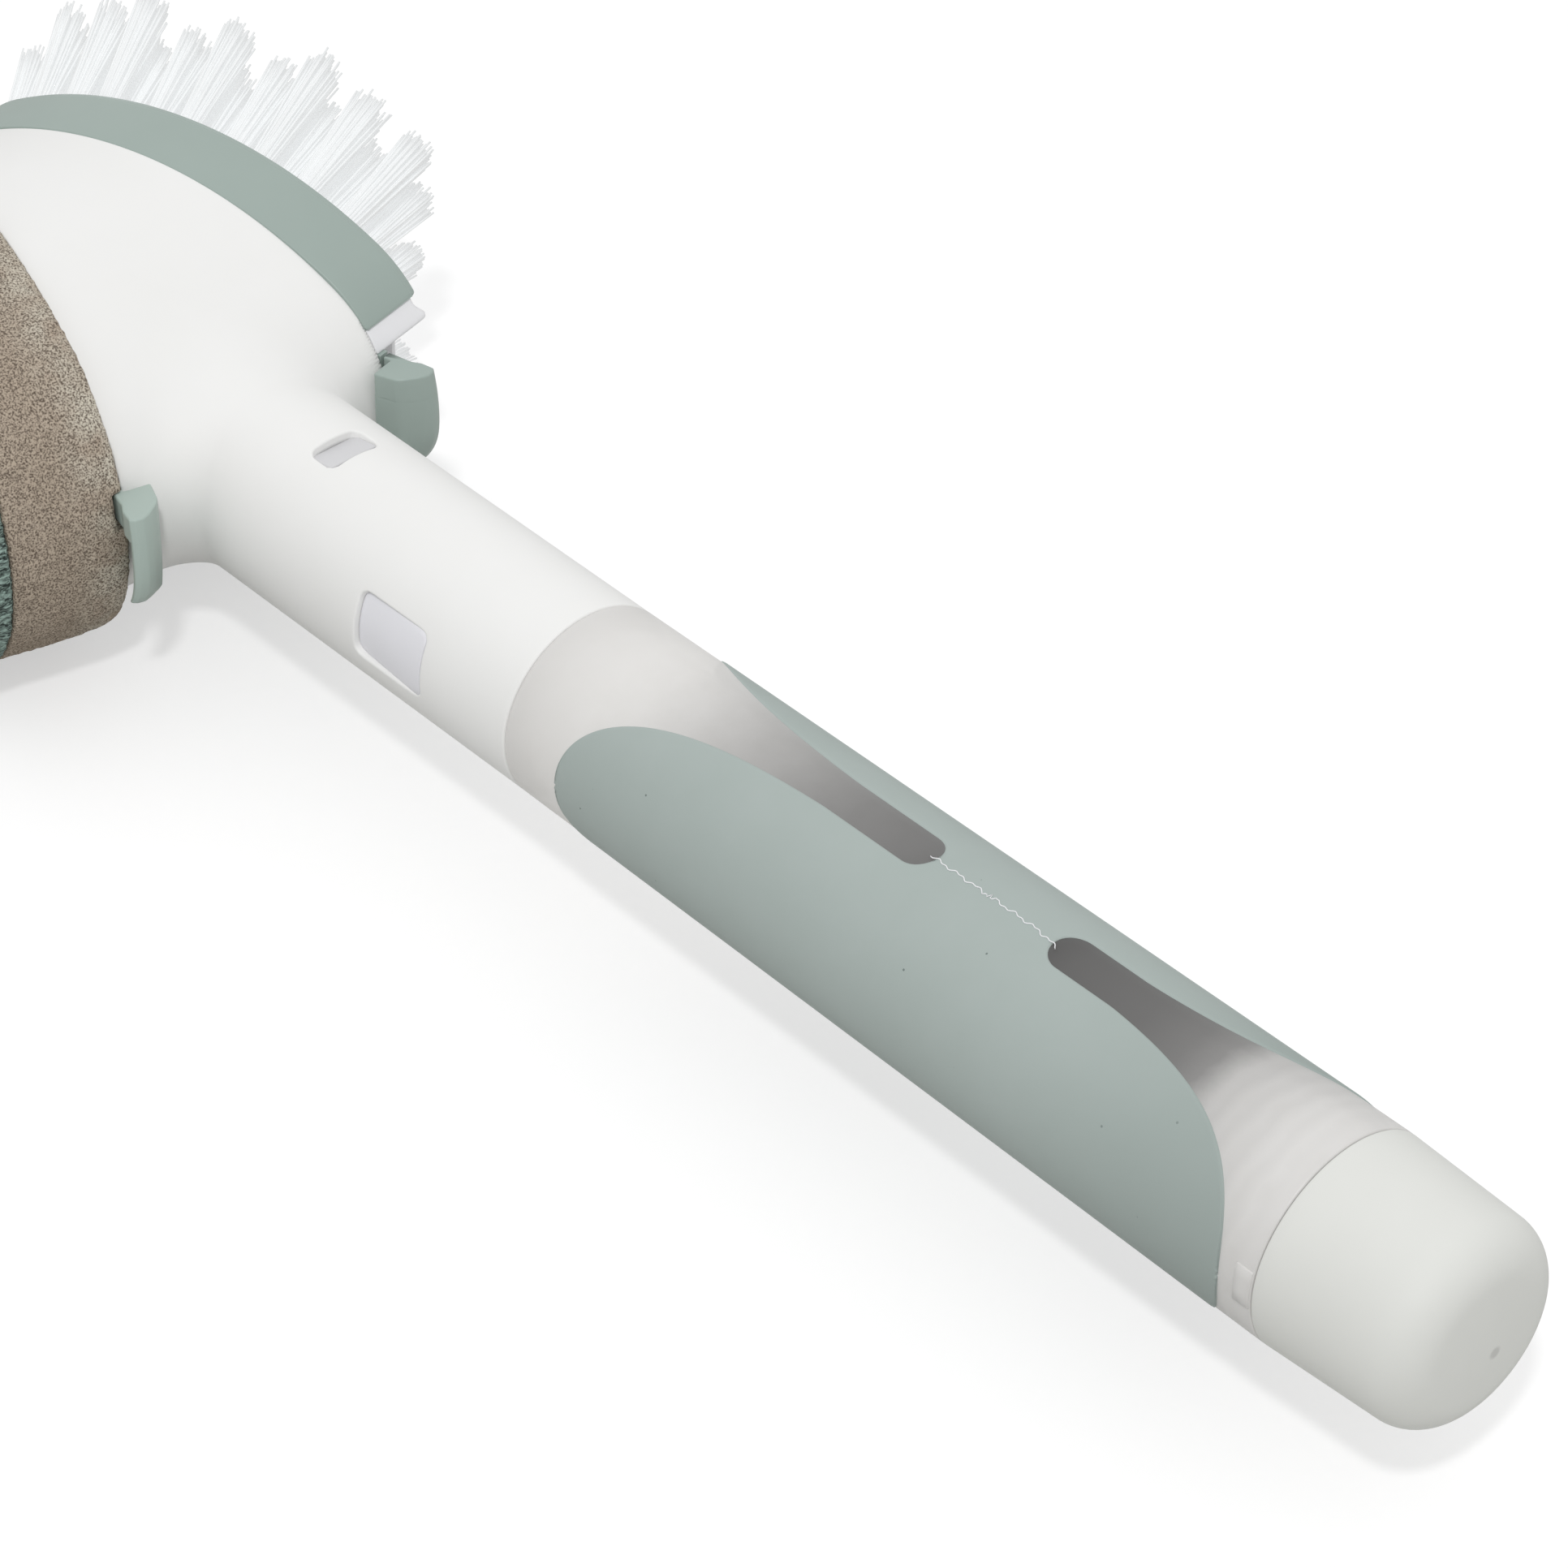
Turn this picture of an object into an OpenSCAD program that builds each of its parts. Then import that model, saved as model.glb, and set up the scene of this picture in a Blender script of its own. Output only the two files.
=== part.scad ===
// Soap-dispensing scrubbing brush with a wedge-shaped head: bristles on one side, sponge on the other.
// It lies on its side: +X runs along the handle to the cap, +Y to the bristles, -Y to the sponge, +Z up.
// The origin is on the handle's axis, in the middle of the plain neck ring that a holder clips round.

/* [Neck] */
// Outside radius of the neck
neck_r = 14; // [13:0.5:16]
// Wall of the neck
neck_wall = 1.6; // [1.4:0.1:1.8]
// Length of the plain ring between the front windows and the reservoir
clip_len = 16; // [12:1:18]
// Length of the neck from the reservoir to where it starts to flare into the hub
neck_len = 62.4; // [60:0.2:66]
// Radius of the fillet between neck and hub, in side view
hub_fillet = 5; // [3:0.5:6]

/* [Neck windows] */
// Length along the neck of the large windows
wide_window_len = 13.4; // [10:0.2:15]
// Width round the neck of the large windows
wide_window_w = 10; // [8:0.5:11]
// Turn of the large windows from the top, about the handle
wide_window_turn = 80; // [70:1:90]
// Length along the neck of the small catch windows
catch_window_len = 4; // [3.5:0.1:5]
// Width of the small catch windows
catch_window_w = 8.2; // [6:0.2:9]
// Distance of the small windows' centre from the reservoir
catch_window_x = 49; // [44:0.5:52]

/* [Reservoir] */
// Length of the reservoir between neck and cap
reservoir_len = 133.2; // [120:1:150]
// Outside radius of the reservoir at the cap
reservoir_end_r = 14.86; // [14.2:0.02:16]
// Wall of the reservoir
reservoir_wall = 2; // [1.8:0.1:2.4]
// Length of the spigot inside the neck
spigot_len = 56; // [54:1:58]
// Wall of the spigot
spigot_wall = 1.8; // [1.2:0.1:2]
// Radius of the outlet nipple on the spigot's end
nipple_r = 3.2; // [2.6:0.1:4]
// Length of the outlet nipple
nipple_len = 5; // [4:0.5:6]

/* [Grip sleeve] */
// Depth of the silicone sleeve's seat in the reservoir
sleeve_seat = 0.9; // [0.6:0.1:1]
// How far the sleeve stands proud of the reservoir
sleeve_proud = 0.15; // [0.1:0.05:0.4]
// Distance from the neck to the tips of the front lobes
sleeve_start = 10.2; // [8:0.2:16]
// Distance from the rear lobes' tips to the cap
sleeve_end_gap = 5.2; // [4:0.2:10]
// Length of the front slots
front_slot_len = 54.8; // [48:0.2:58]
// Length of the rear slots
rear_slot_len = 42.5; // [36:0.5:46]
// Width of the slots
slot_w = 6; // [4:0.2:8]

/* [End cap] */
// Length of the cap outside the reservoir
cap_len = 23.2; // [18:0.2:30]
// Taper of the cap's side, as a loss of radius at the corner
cap_taper = 0.7; // [0:0.1:1.5]
// Radius of the cap's rounded corner
cap_corner = 6; // [3:0.5:7]
// Height of the cap's gentle dome
cap_dome = 1.1; // [0.5:0.1:2]
// Length of the threaded plug
plug_len = 18.6; // [14:0.2:22]
// Wall of the plug and of the cap
cap_wall = 1.8; // [1.4:0.1:2.2]
// Room between the plug and the reservoir's bore, for the thread
thread_room = 0.6; // [0.5:0.05:0.9]
// Thickness of the cap's sealing washer
washer_t = 0.8; // [0.6:0.1:1.2]

/* [Head] */
// Half length of the oval faces
oval_a = 42; // [38:0.5:45]
// Half width of the oval faces
oval_b = 25.2; // [23:0.1:28]
// Radius of the ovals' ends
oval_end_r = 19.4; // [15:0.1:21]
// Distance from the reservoir to the ovals' centres, along the handle
head_x = 108.4; // [106:0.2:114]
// Height of the ovals' centres above the handle's axis
head_y = 12.7; // [12.2:0.1:14]
// Tilt of each oval face, so that the head thins towards its tip
tilt = 13.5; // [10:0.5:14]
// Wall of the hub
hub_wall = 2.2; // [2:0.1:2.8]
// Thickness of the decks that close the hub
deck_t = 2; // [1.6:0.1:2.2]

/* [Soap outlets] */
// Place of the soap outlets, from the ovals' centres towards the handle
nozzle_u = 8; // [4:0.5:12]
// Radius of the hole through each deck
nozzle_r = 3; // [2:0.1:3.4]
// Outside radius of the valve discs
valve_r = 4.4; // [4:0.1:5]
// Thickness of the valve discs
valve_t = 1.2; // [0.8:0.1:1.6]
// Inside radius of the soap duct
duct_r = 2.6; // [2:0.1:3]
// Wall of the soap duct
duct_wall = 1.4; // [1:0.1:1.6]

/* [Brush head] */
// Height of the brush plate's rim
rim_h = 11.4; // [9:0.1:13]
// Wall of the rim
rim_wall = 1.7; // [1.4:0.1:2.4]
// Thickness of the plates' floors
plate_t = 1.6; // [1.4:0.1:2]
// Half width of the gap in the rim at the handle end
rim_gap = 11; // [10:0.5:13]
// Depth of the tufts' bed below the rim's top
bed_depth = 0.4; // [0.2:0.1:2]
// Height of the bristle block's raised end above the bed, at the handle
block_rise = 1.1; // [0:0.1:3]
// Length of a tuft above its bed
tuft_len = 23; // [16:0.5:28]
// Radius of a tuft where it leaves the block
tuft_root_r = 1.6; // [1.2:0.1:1.8]
// Radius of a tuft at its trimmed tip
tuft_tip_r = 2.9; // [1.8:0.1:3.2]
// Distance between rows of tufts, along the head
tuft_row = 6.6; // [6:0.1:8]
// Distance between tufts in a row
tuft_pitch = 6.1; // [5.8:0.1:8]

/* [Sponge head] */
// Thickness of the foam
foam_t = 15.9; // [12:0.1:26]
// Thickness of the scouring pad
scour_t = 7; // [4:0.5:9]
// How far the oval face stands out past the sponge's plate
foam_over = 3; // [2:0.5:5]
// How far the foam swells past the oval face at its ends
foam_end_swell = 2.6; // [0:0.1:3]
// How far the foam swells past the oval face at its sides
foam_side_swell = 2.4; // [0:0.1:3]
// Radius of the foam's blunt ends
foam_end_r = 25; // [20:0.5:26]
// Gap between the foam and the hub, round the plate
foam_gap = 0.65; // [0.3:0.05:1.5]

/* [Release tabs] */
// Half width of a release tab
tab_half = 7.4; // [6:0.2:9]
// Reach of a tab past the oval's end
tab_reach = 7.4; // [6:0.2:9]
// Depth of a tab below the oval face
tab_depth = 3.6; // [3:0.1:4.5]
// Width of the arm that carries a tab
arm_w = 5.6; // [4:0.2:6]
// Thickness of a tab's lip and of the floor of its trough
lip_t = 1.1; // [0.8:0.1:1.6]
// Height of the lip above the plate
lip_rise = 0.5; // [0:0.1:1]
// Room in the foam above a tab's arm, in which the arm bends
arm_room = 1.2; // [0.9:0.1:2]

/* [Hidden] */

$fn = 96;
big = 600;                                   // side of the cutting blocks
fit = 0.1;                                   // room between pieces that are pushed together
seat = 0.3;                                  // room between a head and the hub, and at a tab's hinge
skin = 0.02;                                 // room round an O-ring

brush_side = 1;
sponge_side = -1;

joint_x = clip_len / 2;                      // where the reservoir meets the neck
cap_x = joint_x + reservoir_len;             // where the cap meets the reservoir
end_x = cap_x + cap_len;
flare_x = joint_x - neck_len;                // where the neck starts to flare
centre_x = joint_x - head_x;                 // the ovals' centres

neck_bore_r = neck_r - neck_wall;
spigot_r = neck_bore_r - 2 * fit;
spigot_x = joint_x - spigot_len;
nipple_x = spigot_x - nipple_len;
bore_start_r = neck_r - reservoir_wall;
bore_end_r = reservoir_end_r - reservoir_wall;
plug_r = bore_end_r - thread_room;
shoulder = 0.5;                              // rounded shoulder where the reservoir meets the neck

hub_a = oval_a * cos(tilt);                  // the hub's wall runs straight along Y between the ovals
hub_end_r = oval_end_r * cos(tilt);
ledge = 1.1;                                 // width of the hub's rim round a deck

stud_r = 2.5;
stud_len = 4;
stud_u = 24;                                 // the snap studs' places, either side of the centre
arm_edge = 1.2;                              // how far inside the oval's end a tab is hinged
tab_hinge_n = plate_t / 2 + seat;

// Radius of the reservoir's outside at a distance x from the neck
function reservoir_r(x) = neck_r + (reservoir_end_r - neck_r) * x / reservoir_len;

// Radius of the arcs along the sides of an oval with half axes a and b and end radius e
function side_r(a, b, e) = (a * a + b * b - 2 * a * e) / (2 * (b - e));

// Oval of four arcs that meet smoothly, drawn inwards by inset
module oval(a, b, e, inset = 0) {
    big_r = side_r(a, b, e);
    reach = norm([a - e, big_r - b]);
    meet = (a - e) + (e - inset) * (a - e) / reach;
    for (s = [-1, 1]) translate([s * (a - e), 0]) circle(r = e - inset);
    intersection() {
        translate([0, b - big_r]) circle(r = big_r - inset, $fn = 2 * $fn);
        translate([0, big_r - b]) circle(r = big_r - inset, $fn = 2 * $fn);
        square([2 * meet, 2 * b], center = true);
    }
}

module face_oval(inset = 0) oval(oval_a, oval_b, oval_end_r, inset);

// Frame of an oval face: x to the handle, y down, z out of the face, its centre at the origin
module on_face(side) {
    if (side == brush_side) face_frame() children();
    else mirror([0, 1, 0]) face_frame() children();
}

module face_frame() translate([centre_x, head_y, 0]) rotate([0, 0, tilt]) rotate([-90, 0, 0]) children();

// Plate of the oval between two heights above the face
module oval_slab(low, high, inset = 0) translate([0, 0, low]) linear_extrude(high - low) face_oval(inset);

module rod(x0, x1, r) translate([x0, 0, 0]) rotate([0, 90, 0]) cylinder(h = x1 - x0, r = r);

// Solid of revolution about the handle's axis; the profile's points are [x, radius]
module turned() rotate([0, 90, 0]) rotate([0, 0, 90]) rotate_extrude() children();

// Turns [x, radius] points into a profile for turned()
module profile(points) polygon([for (p = points) [p[1], p[0]]]);

// Wedge between the two faces, with its wall and its faces drawn inwards
module wedge(wall_in, face_in) {
    intersection() {
        rotate([90, 0, 0]) linear_extrude(big, center = true)
            translate([centre_x, 0]) oval(hub_a, oval_b, hub_end_r, wall_in);
        for_both_faces(face_in);
    }
}

module for_both_faces(face_in) {
    intersection() {
        on_face(brush_side) translate([-big / 2, -big / 2, -big - face_in]) cube(big);
        on_face(sponge_side) translate([-big / 2, -big / 2, -big - face_in]) cube(big);
    }
}

// Fillet from the neck into the hub: turned about the axis, and no wider in plan than the neck and its rounds
module neck_flare() {
    root_x = centre_x + hub_a - 12;
    intersection() {
        turned() difference() {
            profile([[root_x, 0], [root_x, neck_r + hub_fillet], [flare_x, neck_r + hub_fillet], [flare_x, 0]]);
            translate([neck_r + hub_fillet, flare_x]) circle(r = hub_fillet);
        }
        rotate([90, 0, 0]) linear_extrude(big, center = true) neck_plan(root_x);
        for_both_faces(0);
    }
}

// Plan of the flare: a strip as wide as the neck with a round into the oval on each side
module neck_plan(root_x) {
    round_r = 16;
    arc_x = centre_x + hub_a - hub_end_r;
    reach = hub_end_r + round_r;
    over = sqrt(pow(reach, 2) - pow(neck_r + round_r, 2));
    touch = [arc_x + hub_end_r * over / reach, hub_end_r * (neck_r + round_r) / reach];
    translate([root_x, -neck_r]) square([flare_x - root_x, 2 * neck_r]);
    for (s = [-1, 1]) scale([1, s]) difference() {
        translate([touch[0] - 1, neck_r - 1]) square([arc_x + over - touch[0] + 1, touch[1] - neck_r + 1]);
        translate([arc_x + over, neck_r + round_r]) circle(r = round_r);
    }
}

// Rectangle with round corners, centred
module rounded(len, wide, corner) {
    square([len, wide - 2 * corner], center = true);
    square([len - 2 * corner, wide], center = true);
    for (x = [-1, 1], y = [-1, 1])
        translate([x * (len / 2 - corner), y * (wide / 2 - corner)]) circle(r = corner, $fn = 32);
}

// Window through the neck's wall with rounded corners, centred at the top of the neck
module neck_window(len, wide, depth) {
    translate([0, 0, neck_r - depth]) linear_extrude(depth + 2) rounded(len, wide, 1.2);
}

module both_catches() for (s = [0, 180]) rotate([s, 0, 0]) translate([joint_x - catch_window_x, 0, 0]) children();

module hub_body() {
    color([0.95, 0.95, 0.95])
    difference() {
        union() {
            wedge(0, 0);
            neck_flare();
            rod(centre_x + hub_a - 10, joint_x, neck_r);
        }
        wedge(hub_wall, deck_t + 0.6);
        intersection() {
            rod(centre_x + hub_a - 12, joint_x + 1, neck_bore_r);
            for_both_faces(deck_t + 2);
        }
        for (side = [brush_side, sponge_side]) {
            on_face(side) oval_slab(-deck_t, 1, ledge);
            on_face(side) oval_slab(-deck_t - 1, 1, hub_wall + 0.2);
        }
        both_catches() neck_window(catch_window_len, catch_window_w, neck_wall + 1);
        for (s = [0, 180]) rotate([wide_window_turn + s, 0, 0])
            translate([-clip_len / 2 - 1 - wide_window_len / 2, 0, 0])
                neck_window(wide_window_len, wide_window_w, neck_wall + 1);
    }
}

// Oval cover of the hub with the soap outlet, its valve socket and the sockets of the snap studs
module deck(side) {
    socket_wall = 1.2;
    socket_len = valve_t + 5;
    color([0.93, 0.93, 0.93])
    on_face(side) difference() {
        union() {
            oval_slab(-deck_t, 0, ledge + fit);
            translate([nozzle_u, 0, -deck_t - socket_len])
                cylinder(h = socket_len + deck_t / 2, r = valve_r + fit + socket_wall);
        }
        translate([nozzle_u, 0, -big / 2]) cylinder(h = big, r = nozzle_r);
        translate([nozzle_u, 0, -deck_t - socket_len - 1]) cylinder(h = socket_len + 1, r = valve_r + fit);
        for (s = [-1, 1]) translate([s * stud_u, 0, -big / 2]) cylinder(h = big, r = stud_r + fit);
    }
}

module brush_deck() deck(brush_side);
module sponge_deck() deck(sponge_side);

// Silicone disc with a cross slit, seated under the deck
module valve(side) {
    slit = 0.15;
    color([0.85, 0.88, 0.9])
    on_face(side) translate([nozzle_u, 0, -deck_t - valve_t]) difference() {
        cylinder(h = valve_t, r = valve_r);
        for (turn = [0, 90]) rotate([0, 0, turn])
            translate([-nozzle_r + 0.4, -slit / 2, -1]) cube([2 * nozzle_r - 0.8, slit, valve_t + 2]);
    }
}

module brush_valve() valve(brush_side);
module sponge_valve() valve(sponge_side);

// Ring that presses a valve disc against the deck
ring_t = 1.2;
module valve_ring(side) {
    color([0.8, 0.8, 0.82])
    on_face(side) translate([nozzle_u, 0, -deck_t - valve_t - ring_t]) difference() {
        cylinder(h = ring_t, r = valve_r);
        translate([0, 0, -1]) cylinder(h = ring_t + 2, r = duct_r);
    }
}

module brush_valve_ring() valve_ring(brush_side);
module sponge_valve_ring() valve_ring(sponge_side);

// Height of the outlet's place above the handle's axis, measured square to the face
nozzle_depth = (head_y + nozzle_u * sin(tilt)) / cos(tilt);
branch_x = centre_x + nozzle_u * cos(tilt) + nozzle_depth * sin(tilt);

module branch(side, r, short) {
    on_face(side) translate([nozzle_u, 0, -nozzle_depth]) {
        cylinder(h = nozzle_depth - short, r = r);
        sphere(r = 1.05 * r);
    }
}

// Soap duct: a socket for the spigot's nipple, a pipe along the axis and a branch to each deck
module manifold() {
    branch_end = deck_t + valve_t + ring_t;
    socket_r = nipple_r + 2 * seal_r + skin;
    socket_x = spigot_x - fit;
    floor_x = nipple_x - 1;
    color([0.88, 0.9, 0.92])
    difference() {
        union() {
            rod(floor_x - 1.5, socket_x, socket_r + duct_wall);
            rod(branch_x, floor_x, duct_r + duct_wall);
            for (side = [brush_side, sponge_side]) branch(side, valve_r, branch_end);
        }
        rod(branch_x, floor_x + 0.5, duct_r);
        rod(floor_x, socket_x + 1, socket_r);
        for (side = [brush_side, sponge_side]) branch(side, duct_r + 0.2, branch_end - 1);
    }
}

// O-ring round the nipple
seal_r = 0.9;
module neck_seal() {
    color([0.2, 0.2, 0.2])
    turned() translate([nipple_r + seal_r + skin, spigot_x - nipple_len / 2]) circle(r = seal_r, $fn = 32);
}

// Half width of the bare strip between the lobes, at a distance d from the lobes' tips: it starts as wide as the
// tube and closes in to the slot along a soft curve of the given length
function flare_half(d, r, reach, length) =
    slot_w / 2 + (r - slot_w / 2) * exp(-pow(d / reach, 0.87)) * (1 - pow(d / length, 2));

// Bare strip at one end of the sleeve, in plan: x from the lobes' tips, towards the slot's round end
module bare_strip(slot_len, r, reach, length, grow) {
    steps = 18;
    side_points = [for (i = [0 : steps]) let (d = length * pow(i / steps, 1.6)) [d, flare_half(d, r, reach, length) - grow]];
    polygon(concat([[-8, -r - 2], [-8, r + 2], [0, r + 2]], side_points,
                   [for (i = [steps : -1 : 0]) [side_points[i][0], -side_points[i][1]]], [[0, -r - 2]]));
    translate([length - 1, -slot_w / 2 + grow]) square([slot_len - slot_w / 2 - length + 1, slot_w - 2 * grow]);
    translate([slot_len - slot_w / 2, 0]) circle(r = slot_w / 2 - grow);
}

// The sleeve's tube with its slots cut from above and below; grow widens it for the seat in the reservoir
module sleeve_shape(grow) {
    x0 = sleeve_start - grow;
    x1 = reservoir_len - sleeve_end_gap + grow;
    inner = sleeve_seat + grow;
    outer = grow > 0 ? -1 : -sleeve_proud;
    translate([joint_x, 0, 0]) difference() {
        turned() profile([[x0, reservoir_r(x0) - inner], [x0, reservoir_r(x0) - outer],
                          [x1, reservoir_r(x1) - outer], [x1, reservoir_r(x1) - inner]]);
        linear_extrude(big, center = true) {
            translate([sleeve_start, 0]) bare_strip(front_slot_len, reservoir_r(x0) + 0.2, 12.5, 38, grow);
            translate([reservoir_len - sleeve_end_gap, 0]) mirror([1, 0])
                bare_strip(rear_slot_len, reservoir_r(x1) + 0.2, 10.8, 30, grow);
        }
    }
}

module grip_sleeve() color([0.66, 0.72, 0.7]) sleeve_shape(0);

// Ramped catch on the spigot that snaps into a window of the neck
module catch() {
    room = 0.35;
    long = catch_window_len - 2 * room;
    wide = catch_window_w - 2 * room - 1.2;
    rise = neck_wall - 0.4;
    translate([0, wide / 2, spigot_r - 0.8]) rotate([90, 0, 0]) linear_extrude(wide)
        polygon([[-long / 2, 0], [-long / 2, 1.1], [long / 2, 0.8 + rise], [long / 2, 0]]);
}

module reservoir() {
    color([0.86, 0.87, 0.87, 0.6])
    difference() {
        union() {
            turned() profile([[spigot_x, 0], [spigot_x, spigot_r - 0.6], [spigot_x + 0.6, spigot_r],
                              [joint_x, spigot_r], [joint_x, neck_r - shoulder], [joint_x + shoulder, neck_r],
                              [cap_x, reservoir_end_r], [cap_x, 0]]);
            rod(nipple_x, spigot_x + 0.5, nipple_r);
            both_catches() catch();
        }
        rod(nipple_x - 1, spigot_x + 3, duct_r - 0.6);
        turned() profile([[spigot_x + spigot_wall, 0], [spigot_x + spigot_wall, spigot_r - spigot_wall],
                          [joint_x + 1, spigot_r - spigot_wall], [joint_x + 3, bore_start_r],
                          [cap_x - plug_len - 4, bore_end_r], [cap_x + 1, bore_end_r], [cap_x + 1, 0]]);
        sleeve_shape(fit / 2);
    }
}

// Washer in the cap's flange
module cap_seal() {
    color([0.8, 0.82, 0.82])
    turned() profile([[cap_x, plug_r + fit], [cap_x, reservoir_end_r - 0.9],
                      [cap_x + washer_t, reservoir_end_r - 0.9], [cap_x + washer_t, plug_r + fit]]);
}

// Outline of the cap: a tapered side, a round corner and a gentle dome, each meeting the next smoothly
cap_edge_r = reservoir_end_r - cap_taper;
dome_r = (pow(cap_edge_r, 2) + pow(cap_dome, 2)) / (2 * cap_dome);
dome_x = end_x - dome_r;                     // centre of the dome's arc
corner_x = dome_x + sqrt(pow(dome_r - cap_corner, 2) - pow(cap_edge_r - cap_corner, 2));
dome_turn = atan2(cap_edge_r - cap_corner, corner_x - dome_x);

module cap_outline() {
    profile([[cap_x, 0], [cap_x, reservoir_end_r], [corner_x, cap_edge_r], [corner_x, 0]]);
    translate([cap_edge_r - cap_corner, corner_x]) circle(r = cap_corner);
    intersection() {
        translate([0, dome_x]) circle(r = dome_r, $fn = 4 * $fn);
        profile([[corner_x, 0], [corner_x, cap_edge_r - cap_corner],
                 [dome_x + 2 * dome_r * cos(dome_turn), 2 * dome_r * sin(dome_turn)], [end_x + big, 0]]);
    }
}

module end_cap() {
    groove_r = reservoir_end_r - 0.9 + fit;
    color([0.87, 0.87, 0.85])
    difference() {
        union() {
            turned() cap_outline();
            rod(cap_x - plug_len, cap_x + 1, plug_r);
        }
        turned() cap_outline_hollow();
        rod(cap_x - plug_len - 1, cap_x + 2, plug_r - cap_wall);
        difference() {
            rod(cap_x - 1, cap_x + washer_t, groove_r);
            rod(cap_x - 2, cap_x + washer_t + 1, plug_r);
        }
    }
}

// Hollow of the cap behind its flange
module cap_outline_hollow() {
    profile([[cap_x + 1, 0], [cap_x + 1, plug_r - cap_wall], [end_x - cap_corner - 1, plug_r - cap_wall],
             [end_x - cap_dome - cap_wall - 1, plug_r - cap_wall - 4], [end_x - cap_dome - cap_wall - 1, 0]]);
}

// Floor of a head's plate with its two snap studs, the soap hole and the stub that carries the tab
module plate_floor(inset) {
    difference() {
        union() {
            difference() {
                oval_slab(seat / 2, plate_t + seat / 2, inset);
                translate([oval_a - 12, -rim_gap, -1]) cube([big, 2 * rim_gap, plate_t + 3]);
            }
            translate([oval_a - 16, -arm_w - tab_half + arm_w, seat / 2])
                cube([16 - arm_edge - seat, arm_w, plate_t]);
            for (s = [-1, 1]) translate([s * stud_u, 0, -stud_len]) {
                translate([0, 0, 1]) cylinder(h = stud_len, r = stud_r);
                cylinder(h = 1, r1 = stud_r - 0.6, r2 = stud_r);
            }
        }
        translate([nozzle_u, 0, -1]) cylinder(h = plate_t + 4, r = nozzle_r - 0.6);
    }
}

// Oval cup with a tall rim, open at the handle end
module brush_plate() {
    draft = 0.3;
    color([0.63, 0.7, 0.68])
    on_face(brush_side) union() {
        plate_floor(0);
        difference() {
            rim_body(draft);
            oval_slab(-1, rim_h + 2, rim_wall);
            translate([0, -rim_gap, -1]) cube([big, 2 * rim_gap, rim_h + 3]);
        }
    }
}

// Rim's outside: straight for most of its height, with a soft inward edge at the top
module rim_body(draft) {
    oval_slab(seat / 2, rim_h - 1.2, 0);
    oval_slab(rim_h - 1.3, rim_h - 0.6, draft);
    oval_slab(rim_h - 0.7, rim_h, 2 * draft);
}

// Block that holds the tufts, with a soap channel and two feet in the gap of the rim
module bristle_block() {
    gap_end = oval_a - 13;
    floor_n = plate_t + seat / 2;
    cheek = rim_gap - fit;
    notch_u = oval_a - 8;
    color([0.96, 0.96, 0.97])
    on_face(brush_side) difference() {
        union() {
            difference() {
                union() {
                    oval_slab(floor_n, bed_n, rim_wall + fit);
                    intersection() {
                        oval_slab(floor_n, bed_n + block_rise, rim_wall + fit + 0.6);
                        translate([field_front + 3, -cheek, 0]) cube([big, 2 * cheek, big]);
                    }
                    // cheeks that fill the rim's gap on both sides of the tab, raised beside it
                    intersection() {
                        oval_slab(floor_n, bed_n + block_rise, 0.3);
                        translate([notch_u - 2, 0, 0]) union() {
                            translate([0, -cheek, 0]) cube([big, 2 * cheek, bed_n - 1]);
                            translate([0, -tab_half - 1.6, 0]) cube([big, 2 * tab_half + 3.2, big]);
                        }
                    }
                }
                // room for the tab to bend in
                translate([notch_u, -tab_half, 0]) cube([big, 2 * tab_half, big]);
            }
            for (s = [-1, 1]) translate([gap_end + 1.2, s * (tab_half + rim_gap) / 2 - 1.1, seat / 2])
                cube([6, 2.2, plate_t + 1]);
        }
        translate([nozzle_u, 0, 0]) cylinder(h = big, r = nozzle_r - 0.6);
    }
}

bed_n = rim_h - bed_depth;                   // height of the tufts' bed above the hub

// Rows of tufts over the whole block up to the rim, stopping short of the release tab
field_front = 23;
field_back = -37.5;
field_a = (field_front - field_back) / 2;
field_b = 20.6;
tip_lean = 0.45;                             // lean towards the tip at the back row
side_lean = 0.36;                            // lean to the sides at the widest rows

// Whether a place on a face lies inside the oval drawn inwards
function inside_oval(u, v, inset) =
    let (long = side_r(oval_a, oval_b, oval_end_r), end_u = oval_a - oval_end_r, drop = long - oval_b)
        (abs(u) - end_u) * drop - abs(v) * end_u > 0
            ? norm([abs(u) - end_u, v]) <= oval_end_r - inset
            : norm([u, abs(v) + drop]) <= long - inset;

function tuft_places() = [
    for (i = [0 : floor(2 * field_a / tuft_row)])
        let (u = field_front - i * tuft_row - 0.5, shift = (i % 2) * tuft_pitch / 2)
            for (j = [-4 : 4])
                let (v = j * tuft_pitch + shift)
                    if (inside_oval(u, v, rim_wall + tuft_root_r + 0.6)
                        && norm([u - nozzle_u, v]) > nozzle_r + tuft_root_r)
                        [u, v]];

module bristle_tufts() {
    rooted = 3;
    color([0.9, 0.92, 0.93])
    on_face(brush_side) for (p = tuft_places()) {
        lean_u = tip_lean * (field_front - p[0]) / (2 * field_a);
        lean_v = side_lean * p[1] / field_b;
        steer = [-lean_u, lean_v, 1] / norm([-lean_u, lean_v, 1]);
        translate([p[0], p[1], bed_n])
            rotate([0, acos(steer[2]), atan2(steer[1], steer[0])]) translate([0, 0, -rooted])
                cylinder(h = tuft_len + rooted, r1 = tuft_root_r, r2 = tuft_tip_r, $fn = 24);
    }
}

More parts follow.
